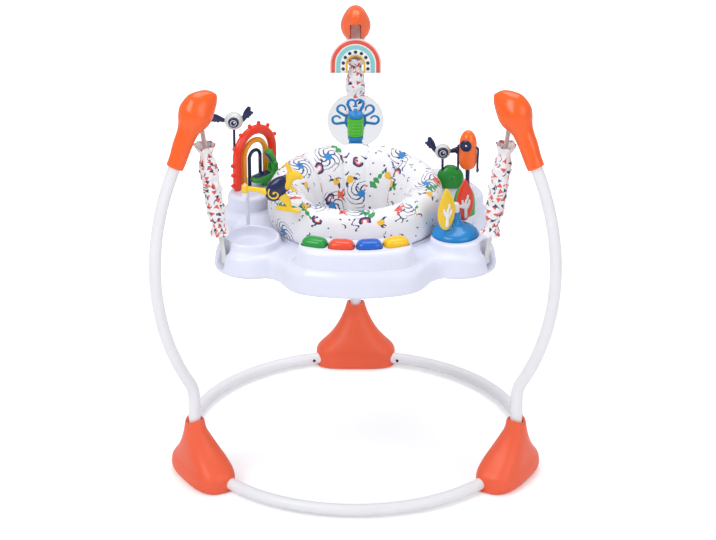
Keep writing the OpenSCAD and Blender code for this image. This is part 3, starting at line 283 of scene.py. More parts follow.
# height, half length, reach inwards and outwards from the ring, squareness
FOOT_ROWS = [
    (1.4, 1, 4, 6, 2), (1.1, 55, -16, 28, 2.8), (1.4, 86, -33, 48, 3.6), (5, 90, -36, 57, 3.6),
    (16, 91, -36, 62, 3.4), (32, 91, -36, 60, 3.2), (44, 84, -34, 56.5, 3), (58, 69, -29, 55, 2.8),
    (76, 53, -20, 54, 2.5), (98, 39, -8.4, 52.2, 2.2), (122, 27.4, 3.8, 50.2, 2), (139, 21.4, 7.0, 48.8, 2),
    (144.2, 19.2, 9.0, 47, 2), (143.6, 15.6, 12.6, 43.4, 2), (138, 13.9, 14.2, 41.8, 2), (120, 13.4, 14.6, 41.4, 2),
    (118, 0.2, 27.9, 28.1, 2),
]


def foot_point(a, t):
    """a runs round the foot, t from its sole up over the collar's lip and down into the bore."""
    z, half, inward, outward, square = spline(FOOT_ROWS, t)
    turn = 2 * math.pi * a
    square = min(square, 2.8) if math.cos(turn) > 0 else square
    out = (inward + outward) / 2 + (outward - inward) / 2 * bent(math.cos(turn), 2 / square)
    side = half * bent(math.sin(turn), 2 / square)
    # the collar's lip rises at its two sides and dips in front
    lip = max(0.0, (z - 122) / 22) * (3.5 * math.sin(turn) ** 2 - 3.5 * max(0, math.cos(turn)) ** 2)
    return Vector(((RING_R + out) * MM, AXIS_Y + side * MM, (z + lip) * MM))


coral = moulded("satin coral polypropylene", "#F4603A", 0.42, 0.9, 0.16)
first = skin("foot_moulding", 72, 60, foot_point)
modify(first, "SUBSURF", levels=1)
for leg, az in LEGS.items():
    foot = turned_copy(first, "foot_moulding_" + leg, az)
    finish_piece(foot, coral, "frame", "orange_satin", "foot_" + leg)
bpy.data.objects.remove(first)

pad_rubber = moulded("grey anti-slip rubber", "#55565A", 0.75, 1.4, 0.3)
paint(pad_rubber, "foot_pads")


# ---------------------------------------------------------------------------------------------------------------
# Caps: glossy orange mouldings pressed on the uprights' upper ends, each a neck that swells to a bulb with a beak over
# the strap. A slot below the beak takes the strap up to its steel pin.

CAP_R, CAP_Z, CAP_H = 421.6, 724, 151
# outwards and up from the rim, half depth, half width, tilt
CAP_ROWS = [
    (-9.5, 19, 0.2, 0.2, 26), (-8.8, 18, 13.2, 13.2, 26), (-1.2, 2.4, 14.6, 14.6, 26), (0.3, -0.6, 16.4, 16.4, 26),
    (-0.6, 1.2, 18, 18, 26), (-8, 17, 18.6, 18.4, 26), (-17, 0.27 * CAP_H, 20, 19.4, 26),
    (-29, 0.44 * CAP_H, 21.4, 20.6, 27), (-36, 0.53 * CAP_H, 25.5, 25, 27), (-43, 0.61 * CAP_H, 32.5, 31, 28),
    (-51, 0.715 * CAP_H, 36.5, 33, 29), (-64, 0.85 * CAP_H, 33.5, 25, 30), (-75, 0.91 * CAP_H, 26, 18, 32),
    (-85.5, 0.947 * CAP_H, 15, 13, 35),
    (-91.5, 0.95 * CAP_H, 7, 7.5, 37), (-94, 0.945 * CAP_H, 0.2, 0.2, 38),
]


def cap_point(a, t):
    """a runs round the cap, t from its bore round the rim and up to the beak's tip."""
    out, up, depth, width, tilt = spline(CAP_ROWS, t)
    turn, lean = 2 * math.pi * a, math.radians(tilt)
    return Vector(((CAP_R + out + depth * math.cos(turn) * math.cos(lean)) * MM,
                   AXIS_Y + width * math.sin(turn) * MM,
                   (CAP_Z + up + depth * math.cos(turn) * math.sin(lean)) * MM))


STRAP_LEAN = 8.456


def strap_frame(az):
    """The place of a strap's pin, with the strap running down its -Z."""
    return AXIS @ spin(az) @ shift(364, 0, 833) @ spin(STRAP_LEAN, "Y")


def block(at, x, y, z):
    """A box of the given size, with its middle at a place."""
    bpy.ops.mesh.primitive_cube_add(size=1)
    made = bpy.context.object
    made.data.transform(at @ Matrix.Diagonal((x * MM, y * MM, z * MM, 1)))
    return made


def close_up(piece):
    """Fills the small holes that a rolled-up skin leaves at its ends."""
    pick(piece)
    bpy.ops.object.mode_set(mode="EDIT")
    bpy.ops.mesh.select_all(action="SELECT")
    bpy.ops.mesh.fill_holes(sides=0)
    bpy.ops.mesh.select_all(action="SELECT")
    bpy.ops.mesh.normals_make_consistent(inside=False)
    bpy.ops.object.mode_set(mode="OBJECT")


def cut(piece, cutter):
    """Takes the cutter's form out of a piece, and the cutter away. Both are closed first."""
    close_up(piece)
    close_up(cutter)
    modify(piece, "BOOLEAN", operation="DIFFERENCE", object=cutter, solver="MANIFOLD")
    bpy.data.objects.remove(cutter)


orange = moulded("glossy orange ABS", "#FF6420", 0.20, 2.4, 0.05)
first = skin("cap_moulding", 64, 72, cap_point)
SLOT_W = 24
cut(first, block(strap_frame(0) @ shift(-37, 0, -42), 86, SLOT_W, 96))
bpy.ops.object.shade_smooth_by_angle(angle=math.radians(38))
for leg, az in LEGS.items():
    cap = turned_copy(first, "cap_moulding_" + leg, az)
    finish_piece(cap, orange, "frame", "orange_gloss", "cap_" + leg)
bpy.data.objects.remove(first)

steel = moulded("zinc-plated steel", "#B9BCC2", 0.30, 0.5, 0.10)
steel.node_tree.nodes["Principled BSDF"].inputs["Metallic"].default_value = 0.9
paint(steel, "cap_pins", "strap_bars", "tray_screws")


# ---------------------------------------------------------------------------------------------------------------
# Straps and springs: 22 mm polypropylene webbing sewn in a loop round the cap's pin and the tray's bar, with an
# extension spring between. On the jumper the spring and the sleeve stretch as the tray goes down; here both
# are fixed meshes at rest.

STRAP_W, STRAP_T = 22, 1.8


def webbing(name):
    """White woven webbing: ribs across the strap and a twill within them."""
    material, tree, face = new_material(name)
    at = add(tree, "ShaderNodeTexCoord").outputs["UV"]
    wide = add(tree, "ShaderNodeMapping", {"Vector": at, "Scale": (22.0, 100.0, 1.0)})
    ribs = add(tree, "ShaderNodeTexWave", {"Vector": wide, "Scale": 0.2, "Distortion": 0.6}, bands_direction="Y")
    twill = add(tree, "ShaderNodeTexWave", {"Vector": wide, "Scale": 0.32, "Distortion": 0.4},
                bands_direction="DIAGONAL")
    weave = add(tree, "ShaderNodeMath", {0: ribs.outputs["Fac"], 1: twill.outputs["Fac"]}, operation="ADD")
    shade = add(tree, "ShaderNodeMapRange", {"Value": weave, "From Max": 2.0, "To Min": 0.86, "To Max": 1.02})
    tint = add(tree, "ShaderNodeHueSaturation", {"Color": linear("#F1F0EE"), "Value": shade})
    bump = add(tree, "ShaderNodeBump", {"Strength": 0.6, "Distance": 0.0005, "Height": weave})
    feed(tree, face, {"Base Color": tint, "Roughness": 0.72, "Sheen Weight": 0.25, "Normal": bump})
    return material


white_web = webbing("white woven webbing")


def strap_point(top, low, loop_at):
    """A flat strap from top to low, with its end bulged round a pin at loop_at."""
    def point(a, t):
        turn = 2 * math.pi * a
        z = top + (low - top) * t
        near = math.exp(-((z - loop_at) / 5.5) ** 2)
        half_t = STRAP_T / 2 + 3.6 * near
        end = min(1.0, 60 * t, 60 * (1 - t))
        return Vector((half_t * bent(math.cos(turn), 0.45) * end * MM,
                       STRAP_W / 2 * bent(math.sin(turn), 0.28) * MM * (0.2 + 0.8 * end), z * MM))
    return point


straps = {"upper": (5.8, -112, 0, "frame"), "lower": (-242, -352.6, -346.8, "tray")}
for part, (top, low, loop_at, body) in straps.items():
    for leg, az in LEGS.items():
        strap = skin("strap_" + part + "_" + leg, 28, 60, strap_point(top, low, loop_at))
        strap.data.transform(strap_frame(az))
        finish_piece(strap, white_web, body, "white_web")
    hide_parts(part + "_straps")

COIL_TOP, COIL_LOW, COIL_TURNS, WIRE_D, COIL_R = -96.4, -256.4, 11, 2.6, 8.5


def wire_point(a, t):
    """a runs round the wire, t along the coil from its top."""
    turn, ring = 2 * math.pi * COIL_TURNS * t, 2 * math.pi * a
    out = COIL_R + WIRE_D / 2 * math.cos(ring)
    z = COIL_TOP - 2 + (COIL_LOW - COIL_TOP + 4) * t + WIRE_D / 2 * math.sin(ring)
    return Vector((out * math.cos(turn) * MM, out * math.sin(turn) * MM, z * MM))


for leg, az in LEGS.items():
    spring = skin("extension_spring_" + leg, 10, 360, wire_point)
    spring.data.transform(strap_frame(az))
    spring.data.materials.append(steel)
    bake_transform(spring)
    if leg == "back":
        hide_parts("springs")


# ---------------------------------------------------------------------------------------------------------------
# Sleeves: tubes of printed cotton, cut longer than the spring and gathered on it, with a frill past each neck.
# On the jumper the necks hold to the upper and the lower strap, so that the sleeve stretches with the spring;
# here each sleeve is a fixed mesh at rest.

MATH = "ShaderNodeMath"


def scattered(tree, at, pitch, spread):
    """The way from the nearest place of a scattered print: its length, its x and y turned at random, and a chance."""
    moved = add(tree, "ShaderNodeVectorMath", {0: at, 1: (3.7 * pitch, 9.1 * pitch, 0.0)}, operation="ADD")
    cells = add(tree, "ShaderNodeTexVoronoi", {"Vector": moved, "Scale": 1.0 / pitch, "Randomness": spread},
                voronoi_dimensions="2D")
    local = add(tree, "ShaderNodeVectorMath", {0: moved, 1: cells.outputs["Position"]}, operation="SUBTRACT")
    chance = add(tree, "ShaderNodeSeparateColor", {"Color": cells.outputs["Color"]})
    angle = add(tree, MATH, {0: chance, 1: 6.283}, operation="MULTIPLY")
    spun = add(tree, "ShaderNodeVectorRotate", {"Vector": local, "Angle": angle}, rotation_type="Z_AXIS")
    xy = add(tree, "ShaderNodeSeparateXYZ", {"Vector": spun})
    away = add(tree, "ShaderNodeVectorMath", {0: spun}, operation="LENGTH")
    return away.outputs["Value"], xy.outputs[0], xy.outputs[1], chance.outputs[1]


def motif_wedge(tree, r, x, y, size):
    """A small rounded triangle."""
    lean = add(tree, MATH, {0: add(tree, MATH, {0: x}, operation="ABSOLUTE"), 1: 1.7, 2: y}, operation="MULTIPLY_ADD")
    tip = add(tree, MATH, {0: lean, 1: size}, operation="LESS_THAN")
    foot = add(tree, MATH, {0: y, 1: -0.75 * size}, operation="GREATER_THAN")
    return add(tree, MATH, {0: tip, 1: foot}, operation="MULTIPLY")


def motif_stroke(tree, line, half, x, size):
    """What lies within half of a line that is given as a height, and no further than size from its middle."""
    near = add(tree, MATH, {0: add(tree, MATH, {0: line}, operation="ABSOLUTE"), 1: half}, operation="LESS_THAN")
    short = add(tree, MATH, {0: add(tree, MATH, {0: x}, operation="ABSOLUTE"), 1: size}, operation="LESS_THAN")
    return add(tree, MATH, {0: near, 1: short}, operation="MULTIPLY")


def motif_tick(tree, r, x, y, size):
    """A short bent stroke."""
    square = add(tree, MATH, {0: x, 1: x}, operation="MULTIPLY")
    bow = add(tree, MATH, {0: square, 1: -0.55 / size, 2: y}, operation="MULTIPLY_ADD")
    return motif_stroke(tree, bow, 0.22 * size, x, size)


def motif_squiggle(tree, r, x, y, size):
    """A wavy stroke."""
    wave = add(tree, MATH, {0: add(tree, MATH, {0: x, 1: 5.5 / size}, operation="MULTIPLY")}, operation="SINE")
    line = add(tree, MATH, {0: wave, 1: -0.3 * size, 2: y}, operation="MULTIPLY_ADD")
    return motif_stroke(tree, line, 0.12 * size, x, size)


def motif_dot(tree, r, x, y, size):
    """A round spot."""
    return add(tree, MATH, {0: r, 1: size}, operation="LESS_THAN")


def motif_burst(tree, r, x, y, size):
    """Seven curled rays round a middle."""
    curl = add(tree, MATH, {0: add(tree, MATH, {0: r, 1: 2.0}, operation="POWER"), 1: 2.1 / size ** 2,
                            2: add(tree, MATH, {0: y, 1: x}, operation="ARCTAN2")}, operation="MULTIPLY_ADD")
    wave = add(tree, MATH, {0: add(tree, MATH, {0: curl, 1: 3.5}, operation="MULTIPLY")}, operation="SINE")
    reach = add(tree, MATH, {0: r, 1: 0.12 * size}, operation="ADD")
    width = add(tree, MATH, {0: 0.25 * size, 1: reach}, operation="DIVIDE")
    rays = add(tree, MATH, {0: add(tree, MATH, {0: wave}, operation="ABSOLUTE"), 1: width}, operation="LESS_THAN")
    inside = add(tree, MATH, {0: r, 1: size}, operation="LESS_THAN")
    return add(tree, MATH, {0: rays, 1: inside}, operation="MULTIPLY")


def motif_sprig(tree, r, x, y, size):
    """A stalk with pairs of leaves that get smaller to its tip."""
    beads = add(tree, MATH, {0: add(tree, MATH, {0: y, 1: 6.2 / size}, operation="MULTIPLY")}, operation="SINE")
    leaf = add(tree, MATH, {0: add(tree, MATH, {0: beads}, operation="ABSOLUTE"), 1: 0.16}, operation="ADD")
    taper = add(tree, MATH, {0: y, 1: -0.19, 2: 0.24 * size}, operation="MULTIPLY_ADD")
    width = add(tree, MATH, {0: leaf, 1: taper}, operation="MULTIPLY")
    within = add(tree, MATH, {0: add(tree, MATH, {0: x}, operation="ABSOLUTE"), 1: width}, operation="LESS_THAN")
    short = add(tree, MATH, {0: add(tree, MATH, {0: y}, operation="ABSOLUTE"), 1: size}, operation="LESS_THAN")
    return add(tree, MATH, {0: within, 1: short}, operation="MULTIPLY")


def motif_ring(tree, r, x, y, size):
    """An open arc, most of a ring."""
    off = add(tree, MATH, {0: r, 1: 0.78 * size}, operation="SUBTRACT")
    near = add(tree, MATH, {0: add(tree, MATH, {0: off}, operation="ABSOLUTE"), 1: 0.19 * size}, operation="LESS_THAN")
    gap = add(tree, MATH, {0: x, 1: -0.45 * size}, operation="GREATER_THAN")
    return add(tree, MATH, {0: near, 1: gap}, operation="MULTIPLY")


def printed_cloth(name, ground, sheet_size, prints, threads, rough):
    """Cloth with scattered motifs: prints hold a motif, its size and pitch in mm, its colour and the share kept."""
    material, tree, face = new_material(name)
    uv = add(tree, "ShaderNodeTexCoord").outputs["UV"]
    at = add(tree, "ShaderNodeMapping", {"Vector": uv, "Scale": (sheet_size[0], sheet_size[1], 1.0)}).outputs[0]
    wobble = add(tree, "ShaderNodeTexNoise", {"Vector": at, "Scale": 90.0, "Detail": 1.0})
    drift = add(tree, "ShaderNodeVectorMath", {0: wobble.outputs["Color"], 1: (0.5, 0.5, 0.5)}, operation="SUBTRACT")
    hand = add(tree, "ShaderNodeVectorMath", {0: drift, "Scale": 0.006}, operation="SCALE")
    drawn = add(tree, "ShaderNodeVectorMath", {0: at, 1: hand}, operation="ADD")
    cloud = add(tree, "ShaderNodeTexNoise", {"Vector": at, "Scale": 30.0, "Detail": 2.0})
    shade = add(tree, "ShaderNodeMapRange", {"Value": cloud, "To Min": 0.95, "To Max": 1.02})
    colour = add(tree, "ShaderNodeHueSaturation", {"Color": linear(ground), "Value": shade}).outputs[0]
    for motif, size, pitch, ink, kept in prints:
        r, x, y, chance = scattered(tree, drawn, pitch * MM, 0.5)
        shape = motif(tree, r, x, y, size * MM)
        keep = add(tree, MATH, {0: chance, 1: kept}, operation="LESS_THAN")
        mask = add(tree, MATH, {0: shape, 1: keep}, operation="MULTIPLY")
        colour = add(tree, "ShaderNodeMix", {0: mask, 6: colour, 7: linear(ink)}, data_type="RGBA").outputs[2]
    across, along = [add(tree, "ShaderNodeTexWave", {"Vector": at, "Scale": threads / 6.283, "Distortion": 0.8},
                         bands_direction=way).outputs["Fac"] for way in "XY"]
    weave = add(tree, MATH, {0: across, 1: along}, operation="MULTIPLY")
    bump = add(tree, "ShaderNodeBump", {"Strength": 0.35, "Distance": 0.0003, "Height": weave})
    feed(tree, face, {"Base Color": colour, "Roughness": rough, "Sheen Weight": 0.2, "Normal": bump})
    return material


SLEEVE_TOP, SLEEVE_LOW, SLEEVE_W, SLEEVE_CUT = -74, -278.8, 42, 0.26
SLEEVE_FORM = [(1.06,), (0.66,), (0.9,), (1.0,), (0.93,), (1.02,), (0.94,), (1.0,), (0.9,), (0.66,), (1.0,)]
sleeve_print = printed_cloth(
    "white cotton with coral and navy print", "#F4F3F5", (0.140, SLEEVE_CUT),
    [(motif_wedge, 7.4, 21, "#E4604F", 0.6), (motif_wedge, 6.2, 24, "#27325C", 0.5),
     (motif_tick, 6.0, 19, "#27325C", 0.45), (motif_dot, 3.6, 27, "#EB8577", 0.5)], 1500, 0.8)


def sleeve_point(seed):
    """Gathers run round the tube and fold over each other, finer at the necks."""
    def point(a, t):
        form = spline(SLEEVE_FORM, t)[0]
        turn = 2 * math.pi * a
        ring = Vector((math.cos(turn) * 1.3, math.sin(turn) * 1.3, t * 17 + seed))
        fold = noise.noise(ring) * 0.20 + noise.noise(ring * 2.1 + Vector((7, 3, 1))) * 0.10
        flute = 0.06 * math.sin(9 * turn + 5 * noise.noise(Vector((t * 3, seed, 2)))) * (0.4 + abs(2 * t - 1) ** 3)
        half = SLEEVE_W / 2 * form * (1 + (fold + flute) * max(0.25, 2 * form - 1))
        sag = 2.2 * noise.noise(Vector((math.cos(turn), math.sin(turn), t * 9 + seed + 20)))
        return Vector((0.9 * half * math.cos(turn) * MM, half * math.sin(turn) * MM,
                       (SLEEVE_TOP + (SLEEVE_LOW - SLEEVE_TOP) * t + sag) * MM))
    return point


for i, (leg, az) in enumerate(LEGS.items()):
    sleeve = skin("gathered_sleeve_" + leg, 72, 120, sleeve_point(11.3 * i))
    sleeve.data.transform(strap_frame(az))
    sleeve.data.materials.append(sleeve_print)
    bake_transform(sleeve)
    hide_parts("sleeve_" + leg)


# ---------------------------------------------------------------------------------------------------------------
# Rainbow tag: a stuffed half ring of plush in front of the rear sleeve, sewn in bands and printed with dots.
# A short ribbon behind it holds it to the strap.

def join(*pieces):
    """Makes one object of several."""
    bpy.ops.object.select_all(action="DESELECT")
    for piece in pieces:
        piece.select_set(True)
    bpy.context.view_layer.objects.active = pieces[0]
    bpy.ops.object.join()
    return pieces[0]


TAG_OUT, TAG_IN, TAG_LEG, TAG_T, TAG_DROP = 57, 17, 20, 7, 84
tag_x = -STRAP_T / 2 - SLEEVE_W * 0.48 - TAG_T / 2
ARCH_LEN = math.pi * (TAG_OUT + TAG_IN) / 2
BANDS = [(0.0, "#F3BD35"), (0.11, "#FBFAF6"), (0.40, "#8ED6D6"), (0.64, "#FBFAF6"), (0.71, "#EF5B4C"),
         (0.91, "#F8D9D6")]


def tag_point(a, t):
    """a runs round the section from its inner edge, t from one leg's end over the arch to the other."""
    run = t * (ARCH_LEN + 2 * TAG_LEG)
    turn = 2 * math.pi * a
    share = 0.5 - 0.5 * bent(math.cos(turn), 0.8)
    out = TAG_IN + (TAG_OUT - TAG_IN) * share
    end = min(1.0, run / 4, (ARCH_LEN + 2 * TAG_LEG - run) / 4)
    swell = bent(math.sin(turn), 0.55) * (0.25 + 0.75 * max(0.0, end) ** 0.5)
    seams = sum(math.exp(-((share - s) / 0.018) ** 2) for s, _ in BANDS[1:])
    lump = 1 + 0.10 * noise.noise(Vector((share * 5, run / 12, 4)))
    thick = (TAG_T / 2 + 0.4) * swell * (1 - 0.34 * min(seams, 1)) * lump
    if run < TAG_LEG or run > ARCH_LEN + TAG_LEG:
        side = -1 if run < TAG_LEG else 1
        drop = TAG_LEG - run if run < TAG_LEG else run - ARCH_LEN - TAG_LEG
        y, z = side * out, -drop
    else:
        angle = math.pi * (1 - (run - TAG_LEG) / ARCH_LEN)
        y, z = out * math.cos(angle), out * math.sin(angle)
    return Vector((tag_x + thick, y, z - TAG_DROP)) * MM


tag = skin("rainbow_tag_plush", 64, 120, tag_point)
ribbon = block(shift((tag_x - STRAP_T / 2) / 2, 0, (TAG_OUT + TAG_IN) / 2 - TAG_DROP),
               -tag_x - STRAP_T / 2 - 0.4, 16, 2.4)
modify(ribbon, "BEVEL", width=0.9 * MM, segments=3)
tag = join(tag, ribbon)
DOT_R, DOT_PITCH, DOT_SHARE = 27, 13.2, 0.255
for name in ("band", "run"):
    tag.data.attributes.new(name, "FLOAT", "POINT")
share, run = tag.data.attributes["band"], tag.data.attributes["run"]
for v, item in zip(tag.data.vertices, share.data):
    y, z = v.co.y / MM, v.co.z / MM + TAG_DROP
    item.value = ((math.hypot(y, z) if z > 0 else abs(y)) - TAG_IN) / (TAG_OUT - TAG_IN)
    way = math.atan2(y, z) * DOT_R if z > 0 else math.copysign(math.pi / 2 * DOT_R - z, y)
    run.data[v.index].value = way / DOT_PITCH
tag.data.transform(strap_frame(90))
plush, tree, face = new_material("short-pile plush in bands")
band = add(tree, "ShaderNodeAttribute", attribute_name="band").outputs["Fac"]
at = add(tree, "ShaderNodeTexCoord").outputs["Object"]
pile = add(tree, "ShaderNodeTexNoise", {"Vector": at, "Scale": 900.0, "Detail": 3.0})
jitter = add(tree, MATH, {0: pile, 1: 0.02, 2: -0.01}, operation="MULTIPLY_ADD")
ramp = add(tree, "ShaderNodeValToRGB", {0: add(tree, MATH, {0: band, 1: jitter}, operation="ADD")})
ramp.color_ramp.interpolation = "CONSTANT"
while len(ramp.color_ramp.elements) < len(BANDS):
    ramp.color_ramp.elements.new(1.0)
for stop, (where, colour) in zip(ramp.color_ramp.elements, BANDS):
    stop.position = where
    stop.color = linear(colour)
ribbon_run = add(tree, "ShaderNodeAttribute", attribute_name="run").outputs["Fac"]
beat = add(tree, MATH, {0: ribbon_run, 1: 0.5}, operation="PINGPONG")
across = add(tree, MATH, {0: beat, 1: DOT_PITCH}, operation="MULTIPLY")
above = add(tree, MATH, {0: band, 1: DOT_SHARE}, operation="SUBTRACT")
up = add(tree, MATH, {0: above, 1: TAG_OUT - TAG_IN}, operation="MULTIPLY")
from_dot = add(tree, "ShaderNodeCombineXYZ", {0: across, 1: up})
away = add(tree, "ShaderNodeVectorMath", {0: from_dot}, operation="LENGTH")
dotted = add(tree, MATH, {0: away.outputs["Value"], 1: 3.9}, operation="LESS_THAN")
inked = add(tree, "ShaderNodeMix", {0: dotted, 6: ramp.outputs[0], 7: linear("#2B3563")}, data_type="RGBA").outputs[2]
shade = add(tree, "ShaderNodeMapRange", {"Value": pile, "To Min": 0.84, "To Max": 1.08})
tint = add(tree, "ShaderNodeHueSaturation", {"Color": inked, "Value": shade})
bump = add(tree, "ShaderNodeBump", {"Strength": 0.7, "Distance": 0.0008, "Height": pile})
feed(tree, face, {"Base Color": tint, "Roughness": 0.92, "Sheen Weight": 0.5, "Normal": bump})
finish_piece(tag, plush, "frame", "plush", "rainbow_tag")


# ---------------------------------------------------------------------------------------------------------------
# Tray: one glossy lilac-white ABS moulding, open below. Three strap lobes stand above the deck, two toy lobes and a
# wide front lobe widen it, and every edge is rounded. The lobes are fused with the deck, cut and softened as one form.

TRAY_Z, DECK_Z, LOBE_Z = 470, 517, 538
DISC_R, FRONT_R, LOBE_R, BLEND = 268, 301, 249, 28
# outline above the rim: height and draw-in
TRAY_ROWS = [(470, 0.0), (480, 0.4), (490, 1.5), (498, 2.8), (504, 4.2), (509, 6.2), (513, 9.0), (516, 13), (517, 19)]


def round_reach(off, at, r):
    """How far a round lobe reaches from the axis, at an angle off its own direction."""
    side = at * math.sin(math.radians(off))
    return at * math.cos(math.radians(off)) + math.sqrt(r * r - side * side) if abs(off) < 90 and abs(side) < r else 0


def wide_reach(off, half, at, r):
    """The same for a lobe that is bent out by half an angle to both sides."""
    return at + r if abs(off) <= half else round_reach(abs(off) - half, at, r)


def tray_reach(az):
    """The rim's radius at an azimuth: the lobes' outlines, blended."""
    off = [(az - to + 180) % 360 - 180 for to in (270, 90, 210, 330, 150, 30)]
    reaches = [DISC_R, wide_reach(off[0], 20, 232, 69)]
    reaches += [round_reach(o, LOBE_R, 79) for o in off[1:4]] + [wide_reach(o, 14, 240, 64) for o in off[4:]]
    return FRONT_R * sum((r / FRONT_R) ** BLEND for r in reaches) ** (1 / BLEND)


def tray_point(a, t):
    """a runs round the tray, t from below its middle over the rim to the middle of the deck."""
    az = 360 * a
    row = t * (len(TRAY_ROWS) + 1)
    if row < 1:
        r, z = tray_reach(az) * row, TRAY_Z
    elif row > len(TRAY_ROWS):
        r, z = (tray_reach(az) - TRAY_ROWS[-1][1]) * (len(TRAY_ROWS) + 1 - row), DECK_Z
    else:
        z, inset = spline(TRAY_ROWS, (row - 1) / (len(TRAY_ROWS) - 1))
        r = tray_reach(az) - inset
    return place(r, az, z)


def soften(piece, voxel, passes):
    """Fuses what overlaps, and rounds the edges as a mould does."""
    modify(piece, "REMESH", mode="VOXEL", voxel_size=voxel * MM)
    modify(piece, "SMOOTH", factor=0.5, iterations=passes)
    bpy.ops.object.shade_smooth()


def drop_faces(piece, chosen):
    """Deletes the faces that chosen(centre, normal) names."""
    pick(piece)
    bpy.ops.object.mode_set(mode="EDIT")
    bpy.ops.mesh.select_all(action="DESELECT")
    bpy.ops.mesh.select_mode(type="FACE")
    bpy.ops.object.mode_set(mode="OBJECT")
    for p in piece.data.polygons:
        p.select = chosen(p.center, p.normal)
    bpy.ops.object.mode_set(mode="EDIT")
    bpy.ops.mesh.delete(type="FACE")
    bpy.ops.object.mode_set(mode="OBJECT")


def banana_point(az, at, half_deg, rows):
    """A round-ended block bent round the axis; rows hold height and half width."""
    def point(a, t):
        z, r = spline(rows, t)
        side = 4 * a
        if side < 1:
            turn = half_deg + 180 * side
            mid, far = half_deg, r
        elif side < 2:
            return place(at - r, az + half_deg - 2 * half_deg * (side - 1), z)
        elif side < 3:
            turn = 180 - half_deg + 180 * (side - 2)
            mid, far = -half_deg, r
        else:
            return place(at + r, az - half_deg + 2 * half_deg * (side - 3), z)
        way = math.radians(az + turn)
        return place(at, az + mid, z) + Vector((math.cos(way), math.sin(way), 0)) * far * MM
    return point


HOLE_R, WALL = 176, 3
tray = skin("tray_moulding", 288, len(TRAY_ROWS) * 2 + 2, tray_point)
lobes = []
for az in LEGS.values():
    bpy.ops.mesh.primitive_cone_add(vertices=96, radius1=72 * MM, radius2=58 * MM, depth=56 * MM,
                                    location=place(LOBE_R, az, 510))
    lobes.append(bpy.context.object)
# low plinths, so that the deck swells up to the housing and the stations
PLINTH = [(505, 0.3), (505, 52), (515, 54), (520, 50), (524, 46.2), (526, 44), (526, 0.3)]
lobes += [skin("plinth", 96, 24, banana_point(az, 240, 13, PLINTH)) for az in (150, 30)]
lobes.append(skin("plinth", 128, 24, banana_point(270, 237.5, 19, [(z, r * 1.03) for z, r in PLINTH])))
tray = join(tray, *lobes)
modify(tray, "REMESH", mode="VOXEL", voxel_size=3.4 * MM)
bpy.ops.mesh.primitive_cylinder_add(vertices=128, radius=HOLE_R * MM, depth=0.2, location=(0, AXIS_Y, 0.5))
cut(tray, bpy.context.object)
bpy.ops.mesh.primitive_cylinder_add(vertices=128, radius=191 * MM, depth=0.1, location=(0, AXIS_Y, (DECK_Z + 50) * MM))
cut(tray, bpy.context.object)
# the dish in the left lobe: a bowl turned from its profile
DISH = [(0, -22), (34, -22), (43, -19.5), (48, -13), (50, -4), (51, 12), (0, 12)]


def dish_point(a, t):
    """The dish's bowl, a round it and t along its profile."""
    r, z = spline(DISH, t)
    r, turn = max(r, 0), 2 * math.pi * a
    return place(LOBE_R, LEGS["left"], LOBE_Z) + Vector((r * math.cos(turn), r * math.sin(turn), z)) * MM


cut(tray, skin("dish", 64, 36, dish_point))
for az in LEGS.values():
    cut(tray, block(AXIS @ spin(az) @ shift(334, 0, 526), 60, 28, 90))
soften(tray, 3.0, 7)
drop_faces(tray, lambda c, n: c.z < (TRAY_Z + 1.6) * MM and n.z < -0.5
           or math.hypot(c.x, c.y - AXIS_Y) < (HOLE_R + 3) * MM and c.z < (DECK_Z - 3) * MM)
modify(tray, "SOLIDIFY", thickness=WALL * MM, offset=-1)
tray_white = moulded("glossy lilac-white ABS", "#E3E6F6", 0.24, 2.6, 0.04)
finish_piece(tray, tray_white, "tray", "tray_white", "tray_shell")
paint(tray_white, "seat_ring", "hopper_arm", "battery_box", "battery_door")

board = moulded("green lacquered board", "#1F6B45", 0.45, 0.7, 0.1)
paint(board, "electronics")


# ---------------------------------------------------------------------------------------------------------------
# Raised mouldings on the deck: the keyboard housing over the front lobe, and a round-ended station on each toy lobe.
# They are of the tray's ABS. The housing has a sloped front, and a flat top with a well for each key.

HOUSING = [(517.2, 0.3), (517.1, 30), (517.2, 51), (520, 52.5), (532, 50.5), (546, 47.5), (555, 44.5), (559.5, 40),
           (561, 34), (561, 20), (561, 0.3)]
narrowed = [(z, r * 0.905) for z, r in HOUSING]
housing = skin("keyboard_housing_moulding", 192, 60, banana_point(270, 237.5, 19, narrowed))
KEY_ANGLES = [-20.4, -6.8, 6.8, 20.4]
KEY_R = 238


def rounded_box_point(az, r_at, rows, square):
    """A rounded-square plug at a place on the deck; rows hold height, half width and half depth."""
    def point(a, t):
        z, wide, deep = spline(rows, t)
        turn, way = 2 * math.pi * a, math.radians(az)
        out, side = deep * bent(math.cos(turn), 2 / square), wide * bent(math.sin(turn), 2 / square)
        return place(r_at, az, z) + Vector((out * math.cos(way) - side * math.sin(way),
                                            out * math.sin(way) + side * math.cos(way), 0)) * MM
    return point


# a well is deeper than a pressed key, and a millimetre wider all round
WELL_ROWS = [(544.5, 0.2, 0.2), (544.5, 27, 18), (560, 27, 18), (572, 27, 18), (572, 0.2, 0.2)]
for off in KEY_ANGLES:
    cut(housing, skin("well", 48, 12, rounded_box_point(270 + off, KEY_R, WELL_ROWS, 4)))
soften(housing, 1.6, 5)
finish_piece(housing, tray_white, "tray", "tray_white", "keyboard_housing")

STATION = [(517.2, 0.3), (517.1, 30), (517.2, 45), (521, 46), (538, 45.4), (549, 44), (554, 40.5), (556, 35),
           (556, 20), (556, 0.3)]
for side, az in (("left", 150), ("right", 30)):
    station = skin("toy_station_moulding_" + side, 128, 48, banana_point(az, 240, 13, STATION))
    finish_piece(station, tray_white, "tray", "tray_white")
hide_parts("toy_stations")


